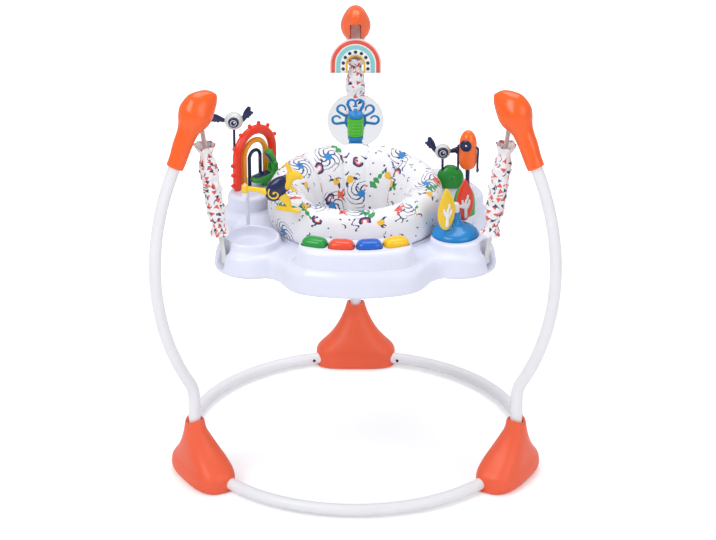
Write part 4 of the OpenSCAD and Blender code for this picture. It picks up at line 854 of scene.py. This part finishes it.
# ---------------------------------------------------------------------------------------------------------------
# Keys: four domed caps of glossy ABS, each on its own switch in a well of the housing.
# A key goes down four millimetres, and the well leaves room for it.

KEYS = [("key_green", "key_1", "#1F9A3C"), ("key_red", "key_2", "#F0502F"),
        ("key_blue", "key_3", "#1C63C8"), ("key_yellow", "key_4", "#F6C516")]
KEY_ROWS = [(550, 0.2, 0.2), (550, 24, 15), (552, 25.6, 16.6), (560, 26, 17), (566, 25.4, 16.6), (570.5, 22.8, 14.4),
            (573.6, 17.5, 10.2), (574.8, 9.5, 5), (575, 0.2, 0.2)]
for (node, body, colour), off in zip(KEYS, KEY_ANGLES):
    key = skin(node + "_dome", 64, 40, rounded_box_point(270 + off, KEY_R, KEY_ROWS, 3.2))
    gloss = moulded("glossy " + node[4:] + " key plastic", colour, 0.16, 3.0, 0.03)
    finish_piece(key, gloss, body, node[4:], node)


# ---------------------------------------------------------------------------------------------------------------
# Seat: a thick stuffed roll of printed cloth round the opening, and a cloth pocket that hangs through the tray with
# two bound leg holes. The roll is blown up as cloth, so that it puckers along its seams.

ROLL_LOW, ROLL_TOP, ROLL_FRONT = 521.4, 634, 604
NAVY = "#27346B"
SEAT_PRINT = [
    (motif_burst, 34, 128, NAVY, 0.7), (motif_dot, 9, 128, "#2E86CF", 0.7), (motif_sprig, 25, 103, "#3C9A55", 0.6),
    (motif_ring, 13, 84, NAVY, 0.5), (motif_ring, 8, 84, "#E8604C", 0.5), (motif_squiggle, 17, 91, NAVY, 0.55),
    (motif_tick, 15, 97, NAVY, 0.6), (motif_dot, 8, 97, "#F0BE3C", 0.6), (motif_wedge, 11, 113, "#E8604C", 0.55),
    (motif_tick, 13, 113, "#E8604C", 0.55), (motif_tick, 7, 41, NAVY, 0.4), (motif_tick, 5, 29, NAVY, 0.3),
    (motif_dot, 2.3, 25, NAVY, 0.42),
]
seat_print = printed_cloth("white quilted cloth with scattered line print", "#EFEFF3", (1.0, 1.0), SEAT_PRINT, 1400,
                           0.78)
SEAMS = [0, 45, 77.4, 102.6, 135, 180, 225, 315]
# the roll's section behind, radius and height: up its outside, over the crest and down the padded inner wall
ROLL_ROWS = [
    (178, 522), (185.5, 546), (186.5, 578), (182, 607), (170, 627), (154, 634), (137, 626), (119, 606), (105, 580),
    (95, 550), (90, 518), (89, 486), (93, 466), (99, 462), (106, 474), (113, 500), (132, 517), (158, 522.5),
]
ROLL_ROUND = ROLL_ROWS[-1:] + ROLL_ROWS + ROLL_ROWS[:2]
section = [Vector(spline(ROLL_ROUND, (1 + i / 400 * len(ROLL_ROWS)) / (len(ROLL_ROUND) - 1))) for i in range(401)]
girth = [0.0]
for here, there in zip(section, section[1:]):
    girth.append(girth[-1] + (there - here).length)


def roll_point(a, t):
    """a runs round the opening from the back, t round the section from its outer foot, in even steps of cloth."""
    az = 360 * a + 90
    r, z = section[min(bisect.bisect(girth, t * girth[-1]), 400)]
    top = (ROLL_TOP + ROLL_FRONT) / 2 + (ROLL_TOP - ROLL_FRONT) / 2 * math.sin(math.radians(az))
    seam = min(1.0, sum(math.exp(-(((az - s + 180) % 360 - 180) / 2.6) ** 2) for s in SEAMS))
    lump = 0.03 * noise.noise(Vector((math.cos(math.radians(az)) * 3, math.sin(math.radians(az)) * 3, 6.3 * t)))
    if z > ROLL_LOW + 2:
        z = ROLL_LOW + (z - ROLL_LOW) * (top - ROLL_LOW) / (ROLL_TOP - ROLL_LOW)
        z = ROLL_LOW + (z - ROLL_LOW) * (1 - 0.05 * seam)
    draw = 0.09 * seam * (1 if r < 150 else 0.45) - lump
    return place(r + (145 - r) * draw, az, z)


roll = skin("seat_roll_padded", 200, 56, roll_point)
# every panel between two seams is cut from flat cloth, so its print is as large on the inside as on the outside
grid = [(uv.uv.x, uv.uv.y) for uv in roll.data.uv_layers[0].data]
for face in roll.data.polygons:
    az = sum(360 * grid[i][0] + 90 for i in face.loop_indices) / len(face.loop_indices) % 360
    panel = max([k for k, s in enumerate(SEAMS) if s <= az])
    middle = (SEAMS[panel] + (SEAMS + [360])[panel + 1]) / 2
    for i, corner in zip(face.loop_indices, face.vertices):
        at = roll.data.vertices[corner].co - Vector((0, AXIS_Y, 0))
        off = (360 * grid[i][0] + 90 - middle + 180) % 360 - 180
        across = math.radians(off) * at.xy.length + 0.37 * panel
        roll.data.uv_layers[0].data[i].uv = (across, grid[i][1] * girth[-1] * MM)


def blow_up(piece, pinned, pressure, most):
    """Lets cloth swell under pressure for 20 frames, no point further than most millimetres, and keeps the result."""
    group = piece.vertex_groups.new(name="sewn down")
    for v in piece.data.vertices:
        if pinned(v.co):
            group.add([v.index], 1.0, "REPLACE")
    pick(piece)
    cloth = piece.modifiers.new("cloth", "CLOTH")
    cloth.settings.use_pressure = True
    cloth.settings.uniform_pressure_force = pressure
    cloth.settings.effector_weights.gravity = 0
    cloth.settings.vertex_group_mass = "sewn down"
    cloth.settings.quality = 5
    cloth.settings.tension_stiffness = 20
    cloth.settings.compression_stiffness = 20
    cloth.settings.bending_stiffness = 0.6
    cloth.collision_settings.use_self_collision = False
    cloth.point_cache.frame_start = 1
    cloth.point_cache.frame_end = 20
    before = [v.co.copy() for v in piece.data.vertices]
    for step in range(1, 21):
        scene.frame_set(step)
    bpy.ops.object.modifier_apply(modifier="cloth")
    scene.frame_set(1)
    for v, was in zip(piece.data.vertices, before):
        move = v.co - was
        if move.length > most * MM:
            v.co = was + move.normalized() * most * MM
    piece.vertex_groups.clear()


blow_up(roll, lambda c: c.z < (ROLL_LOW + 6) * MM, 4.0, 4)
modify(roll, "SUBSURF", levels=1)
bpy.ops.object.shade_smooth()
finish_piece(roll, seat_print, "seat", "seat_cloth", "seat_roll")

# The pocket: its profile from the hem at the ring to the bottom, radius and height
POCKET = [(164, 519), (163, 498), (150, 486), (128, 464), (113, 433), (93, 400), (60, 376), (16, 363), (0.2, 362)]


def pocket_point(a, t):
    """a runs round the pocket from the back, t from its hem down to its middle."""
    az = 360 * a + 90
    r, z = spline(POCKET, t)
    wave = 3.0 * noise.noise(Vector((math.cos(math.radians(az)) * 4, math.sin(math.radians(az)) * 4, t * 3)))
    return place(max(r + wave * min(1, 4 * t) * min(1, 4 * (1 - t)), 0.1), az, z)


pocket = skin("seat_pocket_cloth", 128, 60, pocket_point)
LEG_HOLE_R = 48


def in_leg_hole(c):
    """Within the round opening for a leg, along its leaning axis."""
    for off in (-38, 38):
        way = math.radians(270 + off)
        out = Vector((math.cos(way), math.sin(way), 0))
        axis = out * math.sin(math.radians(116)) + Vector((0, 0, math.cos(math.radians(116))))
        from_start = c - (place(30, 270 + off, 440))
        if from_start.dot(axis) > 0 and (from_start - axis * from_start.dot(axis)).length < LEG_HOLE_R * MM:
            return True
    return False


drop_faces(pocket, lambda c, n: in_leg_hole(c))
modify(pocket, "SMOOTH", factor=0.5, iterations=2)
for uv in pocket.data.uv_layers[0].data:
    uv.uv = (uv.uv.x * 0.8, uv.uv.y * 0.25)
finish_piece(pocket, seat_print, "seat", "seat_cloth", "seat_pocket")


# ---------------------------------------------------------------------------------------------------------------
# Arches: three moulded ABS hoops, one inside the other, plugged into the left station. The red one carries round
# nubs on its outside.

def rod(name, rows, side, flat=1.0, around=20, along=40):
    """A round-ended rod on a smooth line through rows of x, y, z and radius; side is the way in which flat thins it."""
    thin = Vector(side)

    def point(a, t):
        u = min(max((t - 0.12) / 0.76, 0.0), 1.0)
        end = max(0.0, 0.12 - t, t - 0.88) / 0.12 * math.pi / 2
        here, turn = spline(rows, u), 2 * math.pi * a
        ahead = (Vector(spline(rows, u + 0.01)[:3]) - Vector(spline(rows, u - 0.01)[:3])).normalized()
        across = ahead.cross(thin).normalized()
        up = across.cross(ahead)
        return (Vector(here[:3]) + here[3] * (ahead * math.sin(end) * (-1 if t < 0.5 else 1)
                + math.cos(end) * (across * math.cos(turn) + up * flat * math.sin(turn)))) * MM
    return skin(name, around, along, point)


def stack(name, rows, square=2.0, around=48, along=48):
    """A closed form of rounded sections one above the other; rows hold height, x, y, half width and half depth."""
    rows = [rows[0][:3] + (0.01, 0.01)] + rows + [rows[-1][:3] + (0.01, 0.01)]

    def point(a, t):
        z, x, y, wide, deep = spline(rows, t)
        turn = 2 * math.pi * a
        x, y = x + wide * bent(math.cos(turn), 2 / square), y + deep * bent(math.sin(turn), 2 / square)
        return Vector((x, y, z)) * MM
    return skin(name, around, along, point)


def turned(name, rows, **more):
    """A stack of round sections; rows hold height and radius."""
    return stack(name, [(z, 0, 0, r, r) for z, r in rows], **more)


def fused(name, forms, stand, melt=None):
    """Several forms made one and set on their stand; melt holds a voxel size and the passes that soften it."""
    piece = join(*forms) if len(forms) > 1 else forms[0]
    if melt:
        soften(piece, *melt)
    piece.data.transform(stand)
    piece.name = name
    piece.data.name = name
    return piece


def toy(name, forms, stand, material, body, slot, *replaced, melt=None):
    """A finished piece of a toy, fused from its forms."""
    finish_piece(fused(name, forms, stand, melt), material, body, slot, *replaced)


def standing(r, az, z, heading):
    """A place on the tray with its x turned to a heading."""
    return Matrix.Translation(place(r, az, z)) @ spin(heading)


def arch_rows(r, h, d):
    """The line of a hoop of radius r, h high, from a rod d thick: up one leg, over and down the other."""
    leg = h - r - d / 2
    over = [(0, r * math.cos(math.pi * i / 14), leg + r * math.sin(math.pi * i / 14), d / 2) for i in range(15)]
    up = [(0, r, z, d / 2) for z in (d / 2 - 2, leg * 0.5)]
    return up + over + [(0, -r, z, d / 2) for z in (leg * 0.5, d / 2 - 2)]


STATION_Z = 556
toy_red = moulded("glossy red toy ABS", "#F23A1B", 0.14, 3.0, 0.03)
toy_amber = moulded("glossy amber toy ABS", "#F8A01C", 0.16, 3.0, 0.03)
toy_navy = moulded("glossy navy toy ABS", "#1B2550", 0.18, 3.0, 0.03)
arches = standing(246, 152, STATION_Z, 138)
hoop = [rod("hoop", arch_rows(54, 134, 21), (1, 0, 0), 0.82, 32, 160)]
round_arch = [(b, math.radians(b)) for b in (24, 52, 78, 102, 128, 156)]
nubs = [(54, z, 0) for z in (14, 38, 60)] + [(54 * math.cos(w), 69.5 + 54 * math.sin(w), b) for b, w in round_arch]
for y, z, way in nubs:
    out = Vector((0, math.cos(math.radians(way)), math.sin(math.radians(way))))
    foot, tip = Vector((0, y, z)) + out * 8, Vector((0, y, z)) + out * 14
    hoop.append(rod("nub", [tuple(foot) + (3.2,), tuple(tip) + (4.6,)], (1, 0, 0), along=20))
toy("arch_red_hoop", hoop, arches, toy_red, "tray", "red", "arch_red", melt=(1.2, 2))
for name, r, h, d, material in (("amber", 32.5, 106, 12, toy_amber), ("navy", 16.5, 81, 8, toy_navy)):
    inner_hoop = rod("hoop", arch_rows(r, h, d), (1, 0, 0), along=120)
    toy("arch_" + name + "_hoop", [inner_hoop], arches, material, "tray", name, "arch_" + name)


# ---------------------------------------------------------------------------------------------------------------
# Crocodile: green ABS on a post. Its lower jaw is one with the body, its upper jaw turns on a pin between two cheeks,
# and both mouths are lined in navy.

toy_green = moulded("glossy green toy ABS", "#2E9A3A", 0.17, 3.0, 0.03)
croc = standing(222, 152, STATION_Z, 215)
lying = spin(90, "Y")
body = stack("body", [(-33, -24, 0, 6, 7), (-29, -24.5, 0, 11, 11), (-18, -22, 0, 12, 13), (0, -18.5, 0, 10, 13),
                      (17, -17.5, 0, 8, 12.4), (28, -18.5, 0, 6.4, 10), (32, -19.5, 0, 4, 6)], 2.8)
body.data.transform(lying)
parts = [body, rod("post", [(0, 0, 2, 6.2), (0, 0, 20, 6)], (0, 1, 0))]
for side in (-1, 1):
    cheek = [(-22, side * 8.7, z, r) for z, r in ((24, 8), (34, 8.6), (42, 8))]
    parts.append(rod("cheek", cheek, (0, 1, 0), 0.24))
    parts.append(rod("brow", [(-25, side * 10.4, 47, 4.2), (-21, side * 10.4, 50, 4.6)], (0, 1, 0), 0.6))
toy("croc_moulding", parts, croc, toy_green, "tray", "green", "croc_body", melt=(0.9, 3))
lining = stack("lining", [(-12, -29.8, 0, 1.8, 8), (-2, -28.4, 0, 1.8, 10), (14, -25.8, 0, 1.7, 10),
                          (27, -24.6, 0, 1.6, 7.4)], 2.6)
toy("croc_mouth_lining", [lining], croc @ lying, toy_navy, "tray", "navy")
jaw_stand = croc @ shift(-22, 0, 41) @ spin(-62, "Y") @ lying
jaw = stack("jaw", [(-6, -1, 0, 4, 5.4), (-2, -2, 0, 7, 5.8), (6, -5.4, 0, 7.4, 5.8), (13, -5.8, 0, 6.4, 10.6),
                    (24, -5.6, 0, 5.8, 12), (35, -5.6, 0, 5.8, 11.4), (40, -5.8, 0, 3.8, 7.6)], 2.8)
snout = [rod("nostril", [(-10.4, side * 6, 33, 2.6), (-11.4, side * 6, 36.5, 2.8)], (1, 0, 0)) for side in (-1, 1)]
toy("croc_upper_jaw", [jaw] + snout, jaw_stand, toy_green, "jaw", "green", "croc_jaw", melt=(0.8, 3))
lining = stack("lining", [(14, -0.2, 0, 1.2, 8), (24, 0.2, 0, 1.2, 9.6), (35, 0, 0, 1.1, 8.4)], 2.6)
toy("croc_upper_lining", [lining], jaw_stand, toy_navy, "jaw", "navy")


# ---------------------------------------------------------------------------------------------------------------
# Bugs: a pale ABS ball with a domed eye plate pressed in, feathered wings at its sides and a springy navy stalk.
# The left one stands on its station, and the right one in the shell.

toy_white = moulded("glossy white toy ABS", "#EDEDEC", 0.2, 3.0, 0.03)
bug_grey = moulded("satin pale grey toy ABS", "#D5D6D3", 0.32, 2.0, 0.06)


def feathered_wing(side, lift, d):
    """A wing that runs out from the ball and up, with three feather tips along its lower edge."""
    turn = math.radians(lift)

    def at(out, up, r):
        out, up, r = 1.3 * out, 1.3 * up, 1.25 * r
        y = side * (d / 2 - 2 + out * math.cos(turn) - up * math.sin(turn))
        return (0, y, out * math.sin(turn) + up * math.cos(turn), r)
    tips = [rod("feather", [at(o, 0, 3.2), at(o + 2.5, -4.6 - 0.6 * k, 2.4)], (1, 0, 0), 0.7, along=24)
            for k, o in enumerate((9, 14, 18.5))]
    return [rod("wing", [at(0, 0, 3.4), at(8, 0.5, 4.8), at(17, 1.5, 5.8), at(24, 3, 4)], (1, 0, 0), 0.5)] + tips


def eye_rings(r, dot, stand):
    """A raised ring on an eye plate and a small domed spot beside its middle."""
    bpy.ops.mesh.primitive_torus_add(major_segments=40, minor_segments=12, major_radius=r * MM, minor_radius=0.8 * MM)
    ring = bpy.context.object
    bpy.ops.object.shade_smooth()
    ring.data.transform(stand)
    spot = turned("spot", [(-0.4, dot), (0.6, dot * 0.95), (1.4, dot * 0.6)], around=24, along=16)
    spot.data.transform(stand @ shift(-0.28 * r, 0.28 * r, 0.6))
    return [ring, spot]


def make_bug(name, body, stand, d, stalk, lifts):
    """A bug with a ball d thick, on a stalk, with its wings lifted by two angles."""
    ball = [(d / 2 * math.sin(math.radians(b)) * 0.97, d / 2 * math.cos(math.radians(b))) for b in range(-84, 85, 14)]
    toy(name + "_ball", [turned("ball", ball)], stand, bug_grey, body, "white", name)
    wings = [piece for side, lift in zip((-1, 1), lifts) for piece in feathered_wing(side, lift, d)]
    low = -d / 2 - stalk
    stem = rod("stem", [(0, 0, low + 3, 3), (0, 0, low + stalk / 2, 2.8), (0, 0, -d / 2 + 5, 3)], (1, 0, 0))
    plate = turned("plate", [(0, 10.6), (2.6, 11.6), (5.2, 10.4), (6.8, 7), (7.4, 3)])
    facing = shift(d / 2 - 5.6, 0, 2) @ lying
    plate.data.transform(facing)
    toy(name + "_wings_and_plate", wings + [stem, plate], stand, toy_navy, body, "navy", name + "_wings", melt=(0.8, 2))
    rings = eye_rings(6.2, 1.9, facing @ shift(0, 0, 6.5))
    toy(name + "_eye_rings", rings, stand, toy_white, body, "white")


make_bug("bug_left", "left_bug", standing(276, 160, STATION_Z + 132 + 20.3, 270), 40, 132, (16, 56))


# ---------------------------------------------------------------------------------------------------------------
# Hopper: a jumping animal in yellow ABS that swings on the arm's pin, with navy haunches and a raised curl on each.
# The limbs are fused to one moulding, and its hub is bored for the pin.

toy_yellow = moulded("glossy yellow toy ABS", "#F6CB2B", 0.18, 3.0, 0.03)
pivot = shift(-226.5, -219.0, 658.4)
flank = (0, 1, 0)
limbs = [
    rod("tail", [(6, 0, 0, 5), (24, 0, -2, 5), (42, 0, -7, 7.2), (56, 0, -8, 10)], flank, 0.9),
    rod("trunk", [(50, 0, -8, 11), (68, 0, -2, 12.5), (84, 0, 10, 11), (92, 0, 20, 9)], flank, 0.8),
    rod("head", [(89, 0, 18, 9), (97, 0, 29, 11.6), (107, 0, 28.5, 9), (114, 0, 25.5, 5.6)], flank, 0.85),
    rod("leg", [(74, 0, -14, 11), (86, 0, -28, 8), (91, 0, -40, 5)], flank, 0.8),
    rod("foot", [(66, 0, -43, 4.5), (84, 0, -45, 5), (110, 0, -50, 4.3)], flank, 1.2),
    rod("paw", [(88, 0, 6, 4.6), (98, 0, -1, 3.8), (103, 0, -5, 3.4)], flank, 1.2),
    turned("hub", [(-7.8, 6.2), (-6, 6.6), (6, 6.6), (7.8, 6.2)]),
]
limbs += [rod("ear", [(94, y, 36, 4.4), (90, y * 1.3, 46, 4.6), (86, y * 1.5, 54, 2.6)], flank, 0.5)
          for y in (-4.5, 4.5)]
hopper = fused("hopper_figure_moulding", limbs, Matrix.Identity(4), (1.0, 4))
bpy.ops.mesh.primitive_cylinder_add(vertices=32, radius=2.75 * MM, depth=0.04)
cut(hopper, bpy.context.object)
toy("hopper_figure_moulding", [hopper], pivot, toy_yellow, "hopper_figure", "yellow", "hopper")
haunch = [rod("haunch", [(59, 0, -9, 19), (66, 0, 0, 20.5), (76, 0, 12, 17), (86, 0, 22, 9.5)], flank, 0.62, 32)]
toy("hopper_haunches", haunch, pivot, toy_navy, "hopper_figure", "navy", "hopper_haunch")
curls = []
for side in (-1, 1):
    rows = []
    for i in range(13):
        way, out = math.radians(150 - 34 * i), 2.5 + 1.0 * i
        rise = 12.2 * math.sqrt(1 - min(out / 18.5, 0.98) ** 2)
        rows.append((61 + out * math.cos(way), side * (rise - 0.4), -8 + out * math.sin(way), 2.0))
    curls.append(rod("curl", rows, flank, 0.8, 12, 90))
toy("hopper_curls", curls, pivot, toy_yellow, "hopper_figure", "yellow")


# ---------------------------------------------------------------------------------------------------------------
# Leaf spinner: a blue dome and neck fixed in the right lobe, and a white rotor that carries a yellow and a red leaf
# with a small branching stem raised on each face.

toy_blue = moulded("glossy blue toy ABS", "#1E84C8", 0.16, 3.0, 0.03)
spinner = standing(240, 330, 538, 51.5)
dome = turned("dome", [(0.3, 46), (1.4, 47.6), (5, 48), (10, 45), (15.5, 37), (19.5, 27), (23, 19), (29, 14), (39, 11),
                       (49.6, 9.6)], along=96)
toy("leaf_spinner_dome", [dome], spinner, toy_blue, "tray", "blue", "leaf_base")
LEAF_OUT, LEAF_TURN = 32, -18
LEAF = [(20.5, 3), (24, 9), (33, 16), (48, 20.8), (64, 21.8), (80, 18.8), (96, 12), (106, 6.2), (111, 2.4)]
for name, side, material in (("yellow", -1, toy_yellow), ("red", 1, toy_red)):
    leaf = stack("leaf", [(z, 0, 0, r, 2.6) for z, r in LEAF], 2.5, along=72)
    leaf.data.transform(shift(side * LEAF_OUT, 0, 0) @ spin(LEAF_TURN))
    toy("leaf_" + name + "_blade", [leaf], spinner, material, "leaf_spinner", name, "leaf_" + name)
stems = [turned("hub", [(50.4, 7.6), (52, 8.2), (64, 8), (69, 6.6), (71, 4)])]
for side in (-1, 1):
    for face in (-3.6, 3.6):
        for rows in ([(0, 30, 4.4), (0, 46, 4), (0.5, 66, 3)], [(0, 45, 3.4), (7, 55, 3.6), (9, 64, 3)],
                     [(0, 50, 3.2), (-6, 58, 3.4), (-8.5, 67, 2.8)], [(0.5, 62, 2.8), (4, 70, 3), (5, 76, 2.6)]):
            twig = rod("twig", [(x, face, z, r) for x, z, r in rows], flank, 0.5, 12, 24)
            twig.data.transform(shift(side * LEAF_OUT, 0, 0) @ spin(LEAF_TURN))
            stems.append(twig)
    stems.append(rod("arm", [(side * 6, 0, 61, 4), (side * 16, 0, 57, 3.8), (side * 30, 0, 50, 4)], flank, 1.2, 16, 30))
toy("leaf_rotor_stems", stems, spinner, toy_white, "leaf_spinner", "white", "leaf_rotor", melt=(0.9, 2))


# ---------------------------------------------------------------------------------------------------------------
# Right station: a green shell with a raised whorl and a well for the bug's stalk, the bug, an orange bean figure with
# hanging arms, and a green pod on a white collar beside the station.

shell = standing(226, 25.5, STATION_Z, 0)
parts = [stack("shell", [(0.4, 0, 0, 26, 12.5), (4, 0, 0, 27.5, 13.5), (14, 0, 0, 29, 13.8), (25, 0, 0, 29, 13.6),
                         (35, 0, 0, 25, 12.8), (43, 0, 0, 17, 10.5), (48.5, 0, 0, 8, 6)], 2.5)]
for side in (-1, 1):
    whorl = []
    for i in range(14):
        way, out = math.radians(20 + 38 * i), 3 + 1.05 * i
        whorl.append((4 + out * math.cos(way), side * (13.4 - 0.012 * out * out), 22 + out * math.sin(way), 2.6))
    parts.append(rod("whorl", whorl, flank, 0.7, 12, 90))
shell_form = fused("shell_moulding", parts, Matrix.Identity(4), (1.0, 2))
bpy.ops.mesh.primitive_cylinder_add(vertices=64, radius=9.3 * MM, depth=40 * MM, location=(-17 * MM, 0, 58 * MM))
cut(shell_form, bpy.context.object)
toy("shell_moulding", [shell_form], shell, toy_green, "tray", "green", "shell_toy")
pod_stand = standing(231, -1.5, 0, -1.5)
pod = turned("pod", [(537.4, 21), (541, 22.8), (560, 23), (577, 21), (591, 15.4), (600, 8.6), (604, 3)])
toy("pod_moulding", [pod], pod_stand, toy_green, "tray", "green")
collar = turned("collar", [(517.3, 20.5), (518.5, 19.8), (526, 19), (537, 18.8)])
toy("pod_collar", [collar], pod_stand, tray_white, "tray", "tray_white")
make_bug("bug_right", "right_bug", shell @ shift(-17, 0, 81.3) @ spin(-90), 34, 26, (58, 10))

toy_orange = moulded("glossy orange toy ABS", "#FA6E20", 0.16, 3.0, 0.03)
bean = standing(250, 16.3, STATION_Z, 250)
bean_form = turned("bean", [(52.4, 8), (55, 13), (61, 17), (72, 19), (98, 19), (116, 18.2), (129, 14), (136, 9),
                            (139, 4)])
toy("bean_moulding", [bean_form], bean, toy_orange, "bean_figure", "amber", "bean")
trim = [rod("post", [(0, 0, 5.3, 5), (0, 0, 30, 4.6), (0, 0, 54, 5)], flank)]
plate = turned("plate", [(0, 12), (1.6, 13), (3.6, 12.2), (5, 9), (5.6, 4)])
facing = shift(15.4, 0, 110) @ lying
plate.data.transform(facing)
trim.append(plate)
for side in (-1, 1):
    arm = [(0, side * y, z, r) for y, z, r in ((18, 104, 2.6), (22.5, 99, 2.5), (22, 78, 2.4), (21.6, 57, 2.6))]
    trim.append(rod("arm", arm, (1, 0, 0), along=60))
    for lean in (-4.5, 0, 4.5):
        finger = [(0, side * 21.6, 56, 2.4), (lean, side * (21.6 + 0.5 * abs(lean) - 1), 49, 1.9)]
        trim.append(rod("finger", finger, (0, 1, 0), along=20))
toy("bean_arms_and_plate", trim, bean, toy_navy, "bean_figure", "navy", "bean_trim", melt=(0.8, 2))
rings = eye_rings(7.4, 2.3, facing @ shift(0, 0, 4.3))
toy("bean_rings", rings, bean, toy_white, "bean_figure", "white")


# ---------------------------------------------------------------------------------------------------------------
# Rear toy: a blue stand in the rear lobe that holds a ribbed green roller, with six curled arms spread over a clear
# disc.

toy_lime = moulded("glossy lime toy ABS", "#4FC02B", 0.18, 3.0, 0.03)
rear = standing(226, 90, 0, 90)
DISC_Z = 648
parts = [
    turned("foot", [(538.4, 28), (540, 29.6), (545, 27), (553, 20.5), (560, 17)]),
    stack("column", [(550, 0, 0, 5, 14), (570, 0, 0, 5, 14), (612, 0, 0, 5, 14)], 3.5),
    turned("lower_bar", [(615.7, 15.5), (617, 17), (623, 17), (624.5, 15.5)]),
    turned("upper_bar", [(667.5, 15.5), (669, 17), (675, 17), (676.3, 15.5)]),
    rod("spine", [(22.4, 0, 618, 5), (22.4, 0, 674, 5)], (1, 0, 0), 0.55),
    rod("lower_arm", [(8, 0, 620, 4.4), (22, 0, 620, 4.4)], flank, 1.3),
    rod("upper_arm", [(8, 0, 672, 4.4), (22, 0, 672, 4.4)], flank, 1.3),
]
plate = turned("plate", [(23.9, 22.5), (24.6, 24), (26, 24), (26.7, 22.5)])
plate.data.transform(shift(0, 0, DISC_Z) @ lying)
parts.append(plate)
for side in (-1, 1):
    for lean in (24, 60, 98):
        way = math.radians(lean)
        middle = Vector((24.6, 0, DISC_Z))
        out, over = Vector((0, side * math.sin(way), math.cos(way))), Vector((0, side * math.cos(way), -math.sin(way)))
        rows = [tuple(middle + out * r) + (3.6,) for r in (18, 30)]
        for i in range(8):
            curl = math.radians(36 * i)
            at = middle + out * (41 + 9 * math.sin(curl)) - over * (9 - 9 * math.cos(curl))
            rows.append(tuple(at) + (3.4 - 0.14 * i,))
        parts.append(rod("curled_arm", rows, (1, 0, 0), 0.5, 14, 80))
toy("rear_toy_stand", parts, rear, toy_blue, "tray", "blue", "drum_stand", melt=(1.1, 2))
ribs = [(629 + 2.4 * i, 18 if i % 3 else 17.1) for i in range(15)]
ribs = [(625.4, 15.6), (627, 17.4)] + ribs + [(665, 17.4), (666.6, 15.6)]
toy("roller_ribbed", [turned("roller", ribs, along=120)], rear, toy_lime, "roller", "lime", "drum")
clear, tree, face = new_material("clear polycarbonate")
at = add(tree, "ShaderNodeTexCoord").outputs["Object"]
ripple = add(tree, "ShaderNodeTexNoise", {"Vector": at, "Scale": 12.0, "Detail": 0.0})
bump = add(tree, "ShaderNodeBump", {"Strength": 0.04, "Distance": 0.002, "Height": ripple})
feed(tree, face, {"Base Color": linear("#FBFCFE"), "Transmission Weight": 1.0, "Roughness": 0.03, "IOR": 1.12,
                  "Normal": bump})
paint(clear, "drum_disc")


# ---------------------------------------------------------------------------------------------------------------
# Sizes: the box round every piece that renders, the floor left out.

low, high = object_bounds()
